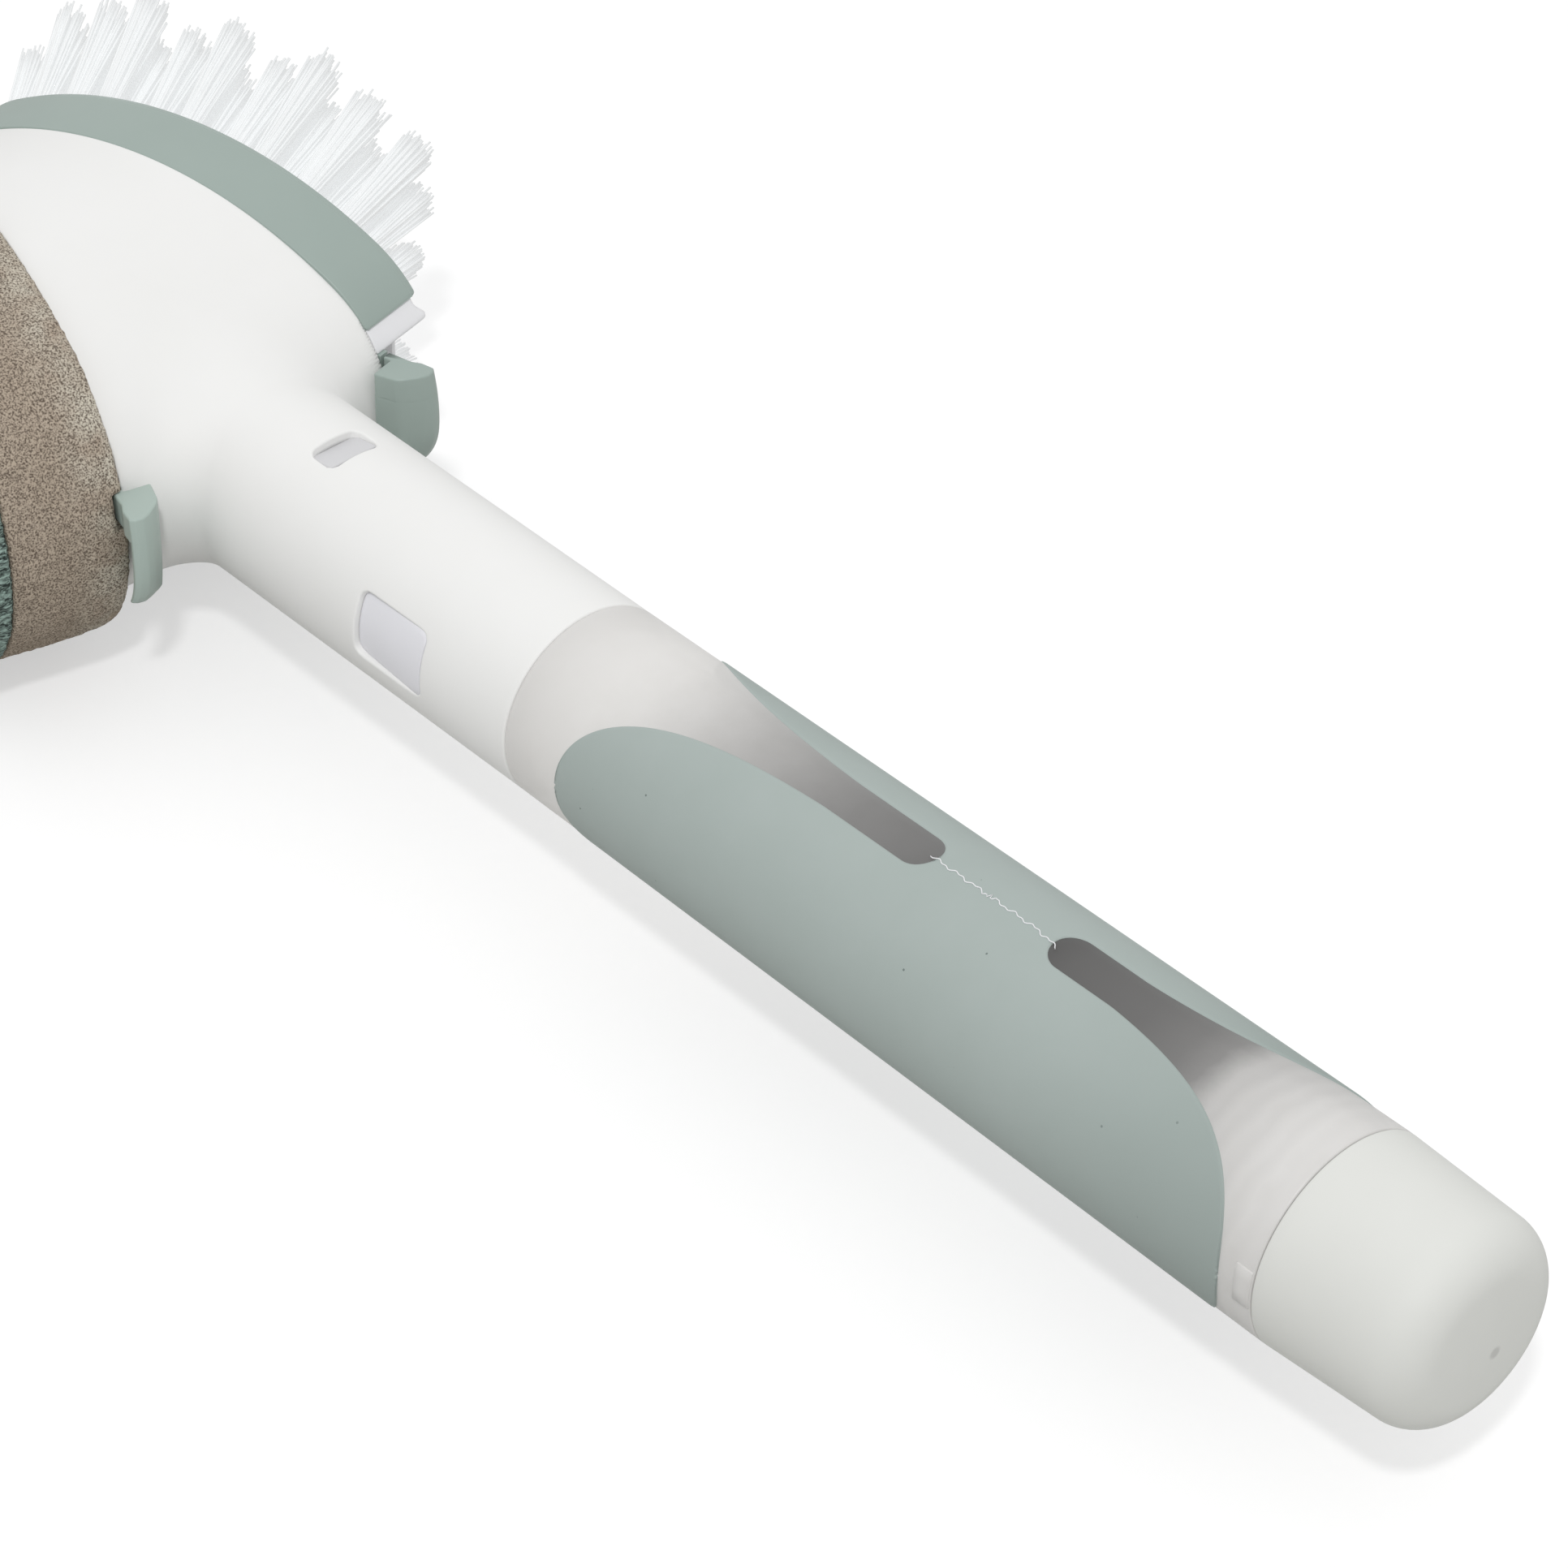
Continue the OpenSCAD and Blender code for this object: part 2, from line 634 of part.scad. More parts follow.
// Release tab: a trough with a thin lip, on an arm at the upper side
module release_tab(side) {
    tip = oval_a + tab_reach;
    top = plate_t + seat / 2;
    hinge_u = oval_a - arm_edge;
    wall_u = oval_a + seat + 0.1;
    round_r = 14;
    color([0.63, 0.7, 0.68])
    on_face(side) intersection() {
        union() {
            tab_slice(-tab_half, -tab_half + arm_w)
                polygon([[hinge_u, seat / 2 + 0.2], [wall_u, seat / 2 + 0.2], [wall_u, -tab_depth],
                         [wall_u + 3.4, -tab_depth + 0.5], [tip - 2.3, -tab_depth + 1.3], [tip - 0.8, -0.8],
                         [tip, 0.4], [tip - 0.1, top - 0.2], [tip - 0.6, top + lip_rise], [tip - 3, top + lip_rise],
                         [tip - 4.6, top], [hinge_u, top]]);
            tab_slice(-tab_half + arm_w - 0.5, tab_half)
                polygon([[wall_u, -tab_depth], [wall_u + 3.4, -tab_depth + 0.5], [tip - 2.3, -tab_depth + 1.3],
                         [tip - 0.8, -0.8], [tip, 0.4], [tip - 0.1, top - 0.2], [tip - 0.6, top + lip_rise],
                         [tip - 0.6 - lip_t / 2, top + lip_rise], [tip - 0.5 - lip_t, top - 0.3],
                         [tip - 0.7 - lip_t, 0.4], [tip - 1.3 - lip_t, -1], [wall_u + 3, -tab_depth + 0.5 + lip_t],
                         [wall_u + 1.6, -tab_depth + 0.1 + lip_t], [wall_u, -tab_depth + lip_t]]);
        }
        translate([0, 0, -big / 2]) linear_extrude(big) intersection() {
            translate([tip - round_r, 0]) circle(r = round_r);
            translate([tip - 2 * tab_reach, 0]) rounded(4 * tab_reach, 2 * tab_half, 3);
        }
    }
}

// Slice of a tab between two places across it; the profile's points are [towards the handle, out of the face]
module tab_slice(y0, y1) translate([0, y1, 0]) rotate([90, 0, 0]) linear_extrude(y1 - y0) children();

module brush_tab() release_tab(brush_side);
module sponge_tab() release_tab(sponge_side);

module sponge_plate() {
    color([0.63, 0.7, 0.68])
    on_face(sponge_side) plate_floor(foam_over);
}

// Foam pad, hollowed underneath for its plate and for the tab's arm
module sponge_foam() {
    color([0.6, 0.55, 0.49])
    on_face(sponge_side) difference() {
        foam_slab(foam_gap, seat / 2 + plate_t + foam_t);
        oval_slab(-1, seat / 2 + plate_t, foam_over - seat);
        translate([oval_a - 18, -tab_half - seat, -1]) cube([big, arm_w + 2 * seat, seat / 2 + plate_t + 1 + arm_room]);
        translate([nozzle_u, 0, 0]) cylinder(h = plate_t + 8, r = nozzle_r);
    }
}

module scour_pad() {
    low = seat / 2 + plate_t + foam_t;
    color([0.39, 0.46, 0.44])
    on_face(sponge_side) foam_slab(low, low + scour_t);
}

// Slab with the foam's blunt outline
module foam_slab(low, high)
    translate([0, 0, low]) linear_extrude(high - low)
        oval(oval_a + foam_end_swell, oval_b + foam_side_swell, foam_end_r);

hub_body();
brush_deck();
sponge_deck();
manifold();
brush_valve();
sponge_valve();
brush_valve_ring();
sponge_valve_ring();
neck_seal();
reservoir();
grip_sleeve();
cap_seal();
end_cap();
brush_plate();
bristle_block();
bristle_tufts();
brush_tab();
sponge_plate();
sponge_foam();
scour_pad();
sponge_tab();
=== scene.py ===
import math

import bpy
import bmesh
import numpy as np
from mathutils import Matrix, Vector


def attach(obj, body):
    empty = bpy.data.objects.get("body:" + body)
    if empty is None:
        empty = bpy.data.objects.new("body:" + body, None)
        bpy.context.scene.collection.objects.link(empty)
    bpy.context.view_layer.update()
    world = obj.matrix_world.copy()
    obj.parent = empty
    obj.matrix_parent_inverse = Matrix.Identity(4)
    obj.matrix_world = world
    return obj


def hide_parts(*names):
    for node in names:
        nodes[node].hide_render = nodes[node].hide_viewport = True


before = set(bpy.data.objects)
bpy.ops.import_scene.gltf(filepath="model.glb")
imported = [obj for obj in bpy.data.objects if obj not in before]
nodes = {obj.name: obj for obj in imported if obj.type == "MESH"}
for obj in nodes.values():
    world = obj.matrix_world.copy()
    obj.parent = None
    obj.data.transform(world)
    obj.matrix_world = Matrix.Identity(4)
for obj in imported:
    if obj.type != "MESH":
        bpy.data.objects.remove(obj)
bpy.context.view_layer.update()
scene = bpy.context.scene
scene.view_settings.view_transform = "Standard"
print("frame loaded:", len(nodes), "nodes")

# Lengths are in millimetres, and become metres where a mesh, a lamp or a pattern is made.
mm = 0.001
rng = np.random.default_rng(41)

# what several pieces share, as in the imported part: the handle's tube, and the oval face of a head
brush = dict(neckR=14.0, boreR=12.4, jointX=8.0, capX=141.2)
head = dict(centreX=-100.4, centreY=12.7, tilt=math.radians(13.5), a=42.0, b=25.2, endR=19.4)
headOval = (head["a"], head["b"], head["endR"])
tiltCos, tiltSin = math.cos(head["tilt"]), math.sin(head["tilt"])

# lens: a focal length of 7000 pixels on a square frame of 1932 pixels
view = dict(place=(445.32, -370.64, 455.74), right=(0.67279, 0.73976, 0.0118), down=(0.47494, -0.41958, -0.77356),
            ahead=(-0.56729, 0.52605, -0.63363), sensor=36, lens=7000 / 1932 * 36)


def placeCamera():
    camera = bpy.data.cameras.new("camera")
    camera.lens = view["lens"]
    camera.sensor_width = view["sensor"]
    camera.clip_start = 0.05
    camera.clip_end = 20
    holder = bpy.data.objects.new("camera", camera)
    scene.collection.objects.link(holder)
    turn = Matrix((Vector(view["right"]), -Vector(view["down"]), -Vector(view["ahead"]))).transposed().to_4x4()
    holder.matrix_world = Matrix.Translation(Vector(view["place"]) * mm) @ turn
    scene.camera = holder


def linear(code):
    # sRGB hex to linear colour
    values = [int(code[i:i + 2], 16) / 255 for i in (1, 3, 5)]
    return [v / 12.92 if v <= 0.04045 else ((v + 0.055) / 1.055) ** 2.4 for v in values] + [1.0]


def outputOf(source):
    # a socket as it is, or the first output that a node has in use
    return source if isinstance(source, bpy.types.NodeSocket) else next(o for o in source.outputs if o.enabled)


def addNode(tree, kind, settings=None, links=None, **attributes):
    # adds a shader node, sets its attributes and sockets, and links its sockets to other nodes
    node = tree.nodes.new("ShaderNode" + kind)
    for name, value in attributes.items():
        setattr(node, name, value)
    for name, value in (settings or {}).items():
        node.inputs[name].default_value = value
    for name, source in (links or {}).items():
        tree.links.new(outputOf(source), node.inputs[name])
    return node


def newMaterial(name):
    # a material, its node tree and its object coordinates
    material = bpy.data.materials.new(name)
    material.use_nodes = True
    tree = material.node_tree
    place = addNode(tree, "TexCoord").outputs["Object"]
    return material, tree, place


def cloudyColour(tree, place, size, detail, uneven, tone, shade):
    # two close tones mixed by soft clouds of the given size: the clouds and the colour
    cloud = addNode(tree, "TexNoise", {"Scale": 1 / (size * mm), "Detail": detail, "Roughness": uneven},
                    {"Vector": place})
    colour = addNode(tree, "Mix", {"A": linear(tone), "B": linear(shade)}, {"Factor": cloud}, data_type="RGBA")
    return cloud, colour


def finishShader(tree, settings, height=None, strength=0.0, depth=0.05, **links):
    # sets the shader's even values and links the others, with a relief of the given depth
    shader = tree.nodes["Principled BSDF"]
    for name, value in settings.items():
        shader.inputs[name].default_value = value
    if height is not None:
        links["Normal"] = addNode(tree, "Bump", {"Strength": strength, "Distance": depth * mm}, {"Height": height})
    for name, source in links.items():
        tree.links.new(outputOf(source), shader.inputs[name.replace("_", " ")])


def mouldedPlastic(name, tone, shade, roughness, grainSize=0.45, bump=0.05, specular=0.45):
    # injection-moulded polypropylene: even colour with a faint cloudiness, satin sheen, and a spark-eroded grain that
    # is about a tenth of a millimetre wide and is drawn coarser, so that it shows
    material, tree, place = newMaterial(name)
    cloud, colour = cloudyColour(tree, place, 14, 3.0, 0.55, tone, shade)
    grain = addNode(tree, "TexNoise", {"Scale": 1 / (grainSize * mm), "Detail": 2.0}, {"Vector": place})
    rough = addNode(tree, "MapRange", {"To Min": roughness - 0.05, "To Max": roughness + 0.06}, {"Value": cloud})
    finishShader(tree, {"Specular IOR Level": specular, "IOR": 1.49}, grain, bump, Base_Color=colour, Roughness=rough)
    return material


def gateMark(material, point, radius):
    # the small round scar that the mould's gate leaves: a spot a little darker than the plastic round it
    tree = material.node_tree
    place = addNode(tree, "TexCoord").outputs["Object"]
    away = addNode(tree, "VectorMath", {1: [value * mm for value in point]}, {0: place}, operation="DISTANCE")
    spot = addNode(tree, "MapRange", {"From Min": radius * mm, "From Max": radius * 0.45 * mm},
                   {"Value": away}, interpolation_type="SMOOTHSTEP")
    amount = addNode(tree, "Math", {1: 0.6}, {0: spot}, operation="MULTIPLY")
    plain = tree.nodes["Principled BSDF"].inputs["Base Color"].links[0].from_socket
    marked = addNode(tree, "Mix", {"B": linear("#b4b4b1")}, {"Factor": amount, "A": plain}, data_type="RGBA")
    finishShader(tree, {}, Base_Color=marked)


def siliconeRubber():
    # overmoulded silicone: dull, soft highlight, a little velvety, with dust specks caught on it and painted shade
    # towards the cap; its grain is drawn coarser than it is, so that it shows
    material, tree, place = newMaterial("sage_silicone_rubber")
    cloud, colour = cloudyColour(tree, place, 9, 4.0, 0.6, "#aab4b1", "#a3aeaa")
    dust = addNode(tree, "TexVoronoi", {"Scale": 1 / (3.2 * mm)}, {"Vector": place})
    speck = addNode(tree, "Math", {1: 0.055}, {0: dust}, operation="LESS_THAN")
    rare = addNode(tree, "Math", {1: 0.55}, {0: cloud}, operation="GREATER_THAN")
    both = addNode(tree, "Math", None, {0: speck, 1: rare}, operation="MULTIPLY")
    dusty = addNode(tree, "Mix", {"B": linear("#75807d")}, {"Factor": both, "A": colour}, data_type="RGBA")
    # painted shade: the sleeve is drawn a little darker towards the cap
    split = addNode(tree, "SeparateXYZ", None, {"Vector": place})
    capShade = addNode(tree, "MapRange", {"From Min": 95 * mm, "From Max": 134 * mm, "To Max": 0.6},
                   {"Value": split.outputs["X"]}, interpolation_type="SMOOTHSTEP")
    shadedToCap = addNode(tree, "Mix", {"B": linear("#939e9a")}, {"Factor": capShade, "A": dusty}, data_type="RGBA")
    grain = addNode(tree, "TexNoise", {"Scale": 1 / (0.35 * mm), "Detail": 2.0}, {"Vector": place})
    finishShader(tree, {"Roughness": 0.58, "Specular IOR Level": 0.35, "IOR": 1.43}, grain, 0.12, Base_Color=shadedToCap)
    return material


# painted shade: how pale the frosted wall is drawn at places along the handle: darker inside the grip, and in rings of
# light and shade over the thread
frosting = dict(length=142, wobble=1.6, tint=(1, 0.988, 0.975), shade=(0.93, 0.925, 0.91, 1.0), alpha=0.84, shadeStops=(
    (8, 0.71), (20, 0.76), (26, 0.74), (31, 0.65), (40, 0.49), (50, 0.36), (60, 0.25), (72, 0.185), (91, 0.09),
    (98, 0.13), (110, 0.16), (117, 0.21), (121, 0.29), (123.5, 0.49), (125, 0.61), (126.5, 0.60), (128, 0.67),
    (129.5, 0.655), (131, 0.72), (132.5, 0.70), (134, 0.77), (135.5, 0.75), (137, 0.80), (138.5, 0.785), (140, 0.80),
    (141, 0.79)))


def frostedPolymer():
    # frosted polypropylene wall: lets light through and blurs what is behind it; painted shade: inside the grip little
    # light comes in from the far side, so the wall's colour is darkened along each slot, and over the cap's plug it is
    # pale again
    material, tree, place = newMaterial("frosted_polypropylene")
    cloud = addNode(tree, "TexNoise", {"Scale": 1 / (6 * mm), "Detail": 4.0, "Roughness": 0.6}, {"Vector": place})
    split = addNode(tree, "SeparateXYZ", None, {"Vector": place})
    sway = frosting["wobble"] * mm
    wobble = addNode(tree, "MapRange", {"To Min": -sway, "To Max": sway}, {"Value": cloud})
    along = addNode(tree, "Math", None, {0: split.outputs["X"], 1: wobble}, operation="ADD")
    where = addNode(tree, "MapRange", {"From Min": 0.0, "From Max": frosting["length"] * mm}, {"Value": along})
    # painted shade: the wall's colour at each place along the handle, dark inside the grip and ringed over the thread
    shadeRamp = addNode(tree, "ValToRGB", None, {"Fac": where})
    shadeBand = shadeRamp.color_ramp
    while len(shadeBand.elements) < len(frosting["shadeStops"]):
        shadeBand.elements.new(0.5)
    for element, (x, value) in zip(shadeBand.elements, frosting["shadeStops"]):
        element.position = x / frosting["length"]
    for element, (x, value) in zip(shadeBand.elements, frosting["shadeStops"]):
        element.color = [value * part for part in frosting["tint"]] + [1.0]
    shade = addNode(tree, "Mix", {"A": (1, 1, 1, 1), "B": frosting["shade"]}, {"Factor": cloud}, data_type="RGBA")
    tint = addNode(tree, "Mix", {"Factor": 1.0}, {"A": shadeRamp, "B": shade}, data_type="RGBA", blend_type="MULTIPLY")
    # painted glow: an emission stands in for light scattered inside the wall, and lifts its shaded side near the neck
    scatterGlow = addNode(tree, "MapRange", {"From Min": 20 * mm, "From Max": 55 * mm, "To Min": 0.09, "To Max": 0.0},
                      {"Value": along})
    finishShader(tree, {"Roughness": 0.38, "IOR": 1.49, "Alpha": frosting["alpha"],
                        "Emission Color": linear("#f0eeea")}, Base_Color=tint, Emission_Strength=scatterGlow)
    return material


def headHeight(tree, place, side):
    # height above a head's oval face in metres, from the object's coordinates
    foot = (head["centreX"] * tiltSin - head["centreY"] * tiltCos) * mm
    dot = addNode(tree, "VectorMath", {1: (-tiltSin, side * tiltCos, 0.0)}, {0: place}, operation="DOT_PRODUCT")
    return addNode(tree, "Math", {1: foot}, {0: dot}, operation="ADD")


def openFoam():
    # open-cell polyurethane foam: matt, full of dark pores 0.3 to 0.5 mm wide, with a painted highlight: paler along
    # the edge on the hub's side, where the cells are cut open and catch the light
    material, tree, place = newMaterial("open_cell_foam")
    pore = addNode(tree, "TexVoronoi", {"Scale": 1 / (0.40 * mm)}, {"Vector": place})
    fine = addNode(tree, "TexNoise", {"Scale": 1 / (0.26 * mm), "Detail": 1.5, "Roughness": 0.6}, {"Vector": place})
    cloud, colour = cloudyColour(tree, place, 5, 4.0, 0.5, "#bcae9e", "#ac9e8d")
    deep = addNode(tree, "MapRange", {"From Min": 0.08, "From Max": 0.46}, {"Value": pore})
    deepFine = addNode(tree, "MapRange", {"From Min": 0.32, "From Max": 0.56}, {"Value": fine})
    wall = addNode(tree, "Math", None, {0: deep, 1: deepFine}, operation="MULTIPLY")
    # painted highlight: paler near the face on the hub's side, in patches
    strip = addNode(tree, "MapRange", {"From Min": 10.0 * mm, "From Max": 1.5 * mm},
                    {"Value": headHeight(tree, place, -1)}, interpolation_type="SMOOTHSTEP")
    uneven = addNode(tree, "MapRange", {"From Min": 0.35, "From Max": 0.6}, {"Value": cloud})
    patchyLight = addNode(tree, "Math", None, {0: strip, 1: uneven}, operation="MULTIPLY")
    litFoam = addNode(tree, "Mix", {"B": linear("#d0c9ba")}, {"Factor": patchyLight, "A": colour}, data_type="RGBA")
    pored = addNode(tree, "Mix", {"A": linear("#5d5248")}, {"Factor": wall, "B": litFoam}, data_type="RGBA")
    finishShader(tree, {"Roughness": 0.95, "Specular IOR Level": 0.15}, wall, 0.4, 0.12, Base_Color=pored)
    return material


def scourFleece():
    # non-woven nylon fleece with grit: threads tangled three ways, glittering a little; they are a tenth of a
    # millimetre thick and are drawn as thick as half a millimetre, so that they show
    material, tree, place = newMaterial("green_scouring_fleece")
    tangle = None
    for size, turn in ((0.62, 0.3), (0.5, 1.4), (0.4, 2.5)):
        spin = addNode(tree, "Mapping", {"Rotation": (turn, turn * 0.7, turn * 1.3), "Scale": (1.0, 0.18, 1.0)},
                       {"Vector": place})
        noise = addNode(tree, "TexNoise", {"Scale": 1 / (size * mm), "Detail": 2.0, "Distortion": 0.8},
                        {"Vector": spin})
        tangle = noise if tangle is None else addNode(tree, "Math", None, {0: tangle, 1: noise}, operation="MAXIMUM")
    level = addNode(tree, "MapRange", {"From Min": 0.5, "From Max": 0.68}, {"Value": tangle})
    colour = addNode(tree, "Mix", {"A": linear("#2b3532"), "B": linear("#9fb6ad")}, {"Factor": level}, data_type="RGBA")
    finishShader(tree, {"Roughness": 0.8, "Specular IOR Level": 0.3}, tangle, 0.9, 0.3, Base_Color=colour)
    return material


def nylonThread():
    # extruded nylon filament: clear white, glossy along its length; a painted glow stands in for the light that comes
    # through the threads behind
    material, tree, place = newMaterial("clear_nylon_filament")
    colour = cloudyColour(tree, place, 2.5, 2.0, 0.5, "#c3c5c6", "#bcbebf")[1]
    # painted glow: the threads give off a little light of their own
    finishShader(tree, {"Roughness": 0.3, "IOR": 1.53, "Emission Color": linear("#f0f1f1"), "Emission Strength": 0.45},
                 Base_Color=colour)
    return material


placeCamera()
whitePlastic = mouldedPlastic("white_moulded_polypropylene", "#efefee", "#ebebe9", 0.56, specular=0.36)
capPlastic = mouldedPlastic("matt_moulded_polypropylene", "#dedfdb", "#d8d9d5", 0.62, grainSize=0.3, bump=0.12)
gateMark(capPlastic, (164.35, 1.3, -2.0), 1.1)
sagePlastic = mouldedPlastic("sage_moulded_polypropylene", "#9fada7", "#99a7a1", 0.36)
tabPlastic = mouldedPlastic("sage_moulded_tab_polypropylene", "#a0aea8", "#9aa8a2", 0.34)
# painted light: a paler copy of the tab plastic for the sponge tab, which faces away from the key lamp
litTabPlastic = mouldedPlastic("sage_tab_polypropylene_painted_light", "#adbcb5", "#a6b5ae", 0.34)
blockPlastic = mouldedPlastic("bright_white_moulded_polypropylene", "#f1f1f3", "#ebebee", 0.35)
latchPlastic = mouldedPlastic("bluish_white_moulded_polypropylene", "#eaeaef", "#e4e4e9", 0.4)
catchPlastic = mouldedPlastic("pale_grey_moulded_polypropylene", "#d6d6d8", "#cfcfd1", 0.4)
silicone = siliconeRubber()
frosted = frostedPolymer()
foamRubber = openFoam()
fleece = scourFleece()
nylon = nylonThread()
print("materials made")


def paint(obj, material):
    obj.data.materials.clear()
    obj.data.materials.append(material)


def newPiece(name, mesh, material):
    mesh.shade_smooth()
    mesh.update()
    piece = bpy.data.objects.new(name, mesh)
    scene.collection.objects.link(piece)
    paint(piece, material)
    return piece


def makePiece(name, patches, material, fill=False):
    # joins grids of points (rows, columns, 3) into one mesh, a grid in a pair with the squares that it leaves out;
    # doubles are merged, open ends are filled if asked, and normals point outwards
    verts, faces, base = [], [], 0
    for patch in patches:
        patch, skip = patch if isinstance(patch, tuple) else (patch, None)
        rows, cols = patch.shape[:2]
        verts.append(patch.reshape(-1, 3))
        index = np.arange(rows * cols).reshape(rows, cols) + base
        quads = np.stack([index[:-1, :-1], index[:-1, 1:], index[1:, 1:], index[1:, :-1]], -1)
        faces.append((quads if skip is None else quads[~skip]).reshape(-1, 4))
        base += rows * cols
    mesh = bpy.data.meshes.new(name)
    mesh.from_pydata((np.concatenate(verts) * mm).tolist(), [], np.concatenate(faces).tolist())
    work = bmesh.new()
    work.from_mesh(mesh)
    bmesh.ops.remove_doubles(work, verts=work.verts, dist=0.004 * mm)
    bmesh.ops.dissolve_degenerate(work, edges=work.edges, dist=0.001 * mm)
    if fill:
        ends = [edge for edge in work.edges if edge.is_boundary]
        lids = bmesh.ops.holes_fill(work, edges=ends, sides=0)["faces"]
        bmesh.ops.triangulate(work, faces=lids, ngon_method="EAR_CLIP")
    bmesh.ops.recalc_face_normals(work, faces=work.faces)
    work.to_mesh(mesh)
    work.free()
    return newPiece(name, mesh, material)


def ring(points):
    # repeats the first column at the end, so that a grid closes on itself
    return np.concatenate([points, points[:, :1]], 1)


def fan(row, point):
    # closes a row of points to one point
    return np.stack([row, np.broadcast_to(point, row.shape)])


def withEnds(grid):
    # closes a grid on itself, and its first and last row each to their own middle
    grid = ring(grid)
    return [grid] + [fan(grid[k], grid[k].mean(0)) for k in (0, -1)]


def aroundAxis(x, radius, angle):
    # points along the handle's axis, at a radius and an angle round it from straight up
    return np.stack(np.broadcast_arrays(x, radius * np.sin(angle), radius * np.cos(angle)), -1)


def lathe(profile, count=144):
    # a profile of (x, radius) points carried round the handle's axis
    x, radius = np.asarray(profile, float).T
    return aroundAxis(x[:, None], radius[:, None], np.linspace(0, 2 * np.pi, count + 1))


def ease(k):
    # from 0 to 1 with soft ends: three times the square less twice the cube
    return k * k * (3 - 2 * k)


def halving(inside, high, steps):
    # how far each ray from nought to high runs inside a shape, by halving
    low = np.zeros_like(high)
    for _ in range(steps):
        middle = (low + high) / 2
        within = inside(middle)
        low, high = np.where(within, middle, low), np.where(within, high, middle)
    return (low + high) / 2


def roundedPath(points, radii, steps):
    # a line through points with its corners rounded by arcs
    points = [np.asarray(p, float) for p in points]
    out = [points[0]]
    for before, corner, after, radius in zip(points[:-2], points[1:-1], points[2:], radii):
        if radius <= 0:
            out.append(corner)
            continue
        a, b = before - corner, after - corner
        la, lb = np.linalg.norm(a), np.linalg.norm(b)
        a, b = a / la, b / lb
        half = math.acos(np.clip(a @ b, -1, 1)) / 2
        back = min(radius / math.tan(half), 0.49 * la, 0.49 * lb)
        radius = back * math.tan(half)
        centre = corner + (a + b) / np.linalg.norm(a + b) * radius / math.sin(half)
        start, stop = corner + a * back - centre, corner + b * back - centre
        side = np.sign(start[0] * stop[1] - start[1] * stop[0])
        for t in np.linspace(0, math.pi - 2 * half, steps + 1):
            c, s = math.cos(t), math.sin(t) * side
            out.append(centre + np.array([c * start[0] - s * start[1], s * start[0] + c * start[1]]))
    out.append(points[-1])
    return np.array(out)


def threadRings(path, radii, angles, helper):
    # circles round a path, or round many at once, square to it; helper is any direction that none of them follows
    step = np.gradient(path, axis=-2)
    step /= np.linalg.norm(step, axis=-1, keepdims=True)
    across = np.cross(step, helper)
    across /= np.linalg.norm(across, axis=-1, keepdims=True)
    other = np.cross(step, across)
    circle = across[..., None, :] * np.cos(angles)[:, None] + other[..., None, :] * np.sin(angles)[:, None]
    return path[..., None, :] + radii[:, None, None] * circle


def onFace(side, u, v, n):
    # place on a head: u towards the handle, v up, n out of the oval face
    u, v, n = np.broadcast_arrays(u, v, n)
    return np.stack([head["centreX"] + u * tiltCos - n * tiltSin,
                     side * (head["centreY"] + u * tiltSin + n * tiltCos), v], -1)


def ovalSide(size):
    # an oval of four arcs has half axes a and b and end arcs of radius e: the side arcs' radius, and the direction
    # in which the two kinds of arc meet
    a, b, e = size
    big = (a * a + b * b - 2 * a * e) / (2 * (b - e))
    return big, math.atan2(big - b, a - e)


def ovalAngles(size, step):
    # directions of the outline's normal, evenly spread along the four arcs
    big, meet = ovalSide(size)
    endCount = max(6, int(round(2 * meet * size[2] / step)))
    sideCount = max(6, int(round((math.pi - 2 * meet) * big / step)))
    arcs = ((-meet, meet, endCount), (meet, math.pi - meet, sideCount), (math.pi - meet, math.pi + meet, endCount),
            (math.pi + meet, 2 * math.pi - meet, sideCount))
    return np.concatenate([np.linspace(*arc, endpoint=False) for arc in arcs])


def ovalPoints(angles, inset, size):
    # the oval's outline, drawn inwards by inset, at the given normal directions
    a, b, e = size
    big, meet = ovalSide(size)
    angles, inset = np.broadcast_arrays(np.asarray(angles, float), inset)
    c, s = np.cos(angles), np.sin(angles)
    atEnd = np.abs(s) * math.cos(meet) < np.abs(c) * math.sin(meet)
    u = np.where(atEnd, np.sign(c) * (a - e) + (e - inset) * c, (big - inset) * c)
    v = np.where(atEnd, (e - inset) * s, -np.sign(s) * (big - b) + (big - inset) * s)
    return u, v


def ovalDistance(u, v, size):
    # signed distance to the oval's outline
    a, b, e = size
    big = ovalSide(size)[0]
    u, v = np.abs(u), np.abs(v)
    atEnd = (u - (a - e)) * (big - b) - v * (a - e) > 0
    return np.where(atEnd, np.hypot(u - (a - e), v) - e, np.hypot(u, v + big - b) - big)


def valueNoise(p, size, seed):
    # smooth noise from -1 to 1 over points p, with lumps of the given size in mm: random values on a lattice, mixed
    # between its eight nearest points
    q = p / size + 1000.0
    cell = np.floor(q).astype(np.int64)
    near = ease(q - cell)

    def lattice(i, j, k):
        h = (i * 374761393 + j * 668265263 + k * 2147483647 + seed * 974634777) & 0xFFFFFFFF
        h = ((h ^ (h >> 13)) * 1274126177) & 0xFFFFFFFF
        return ((h ^ (h >> 16)) & 0xFFFF) / 32767.5 - 1

    total = 0
    for corner in np.ndindex(2, 2, 2):
        weight = np.where(corner, near, 1 - near).prod(-1)
        total = total + weight * lattice(*np.moveaxis(cell + corner, -1, 0))
    return total


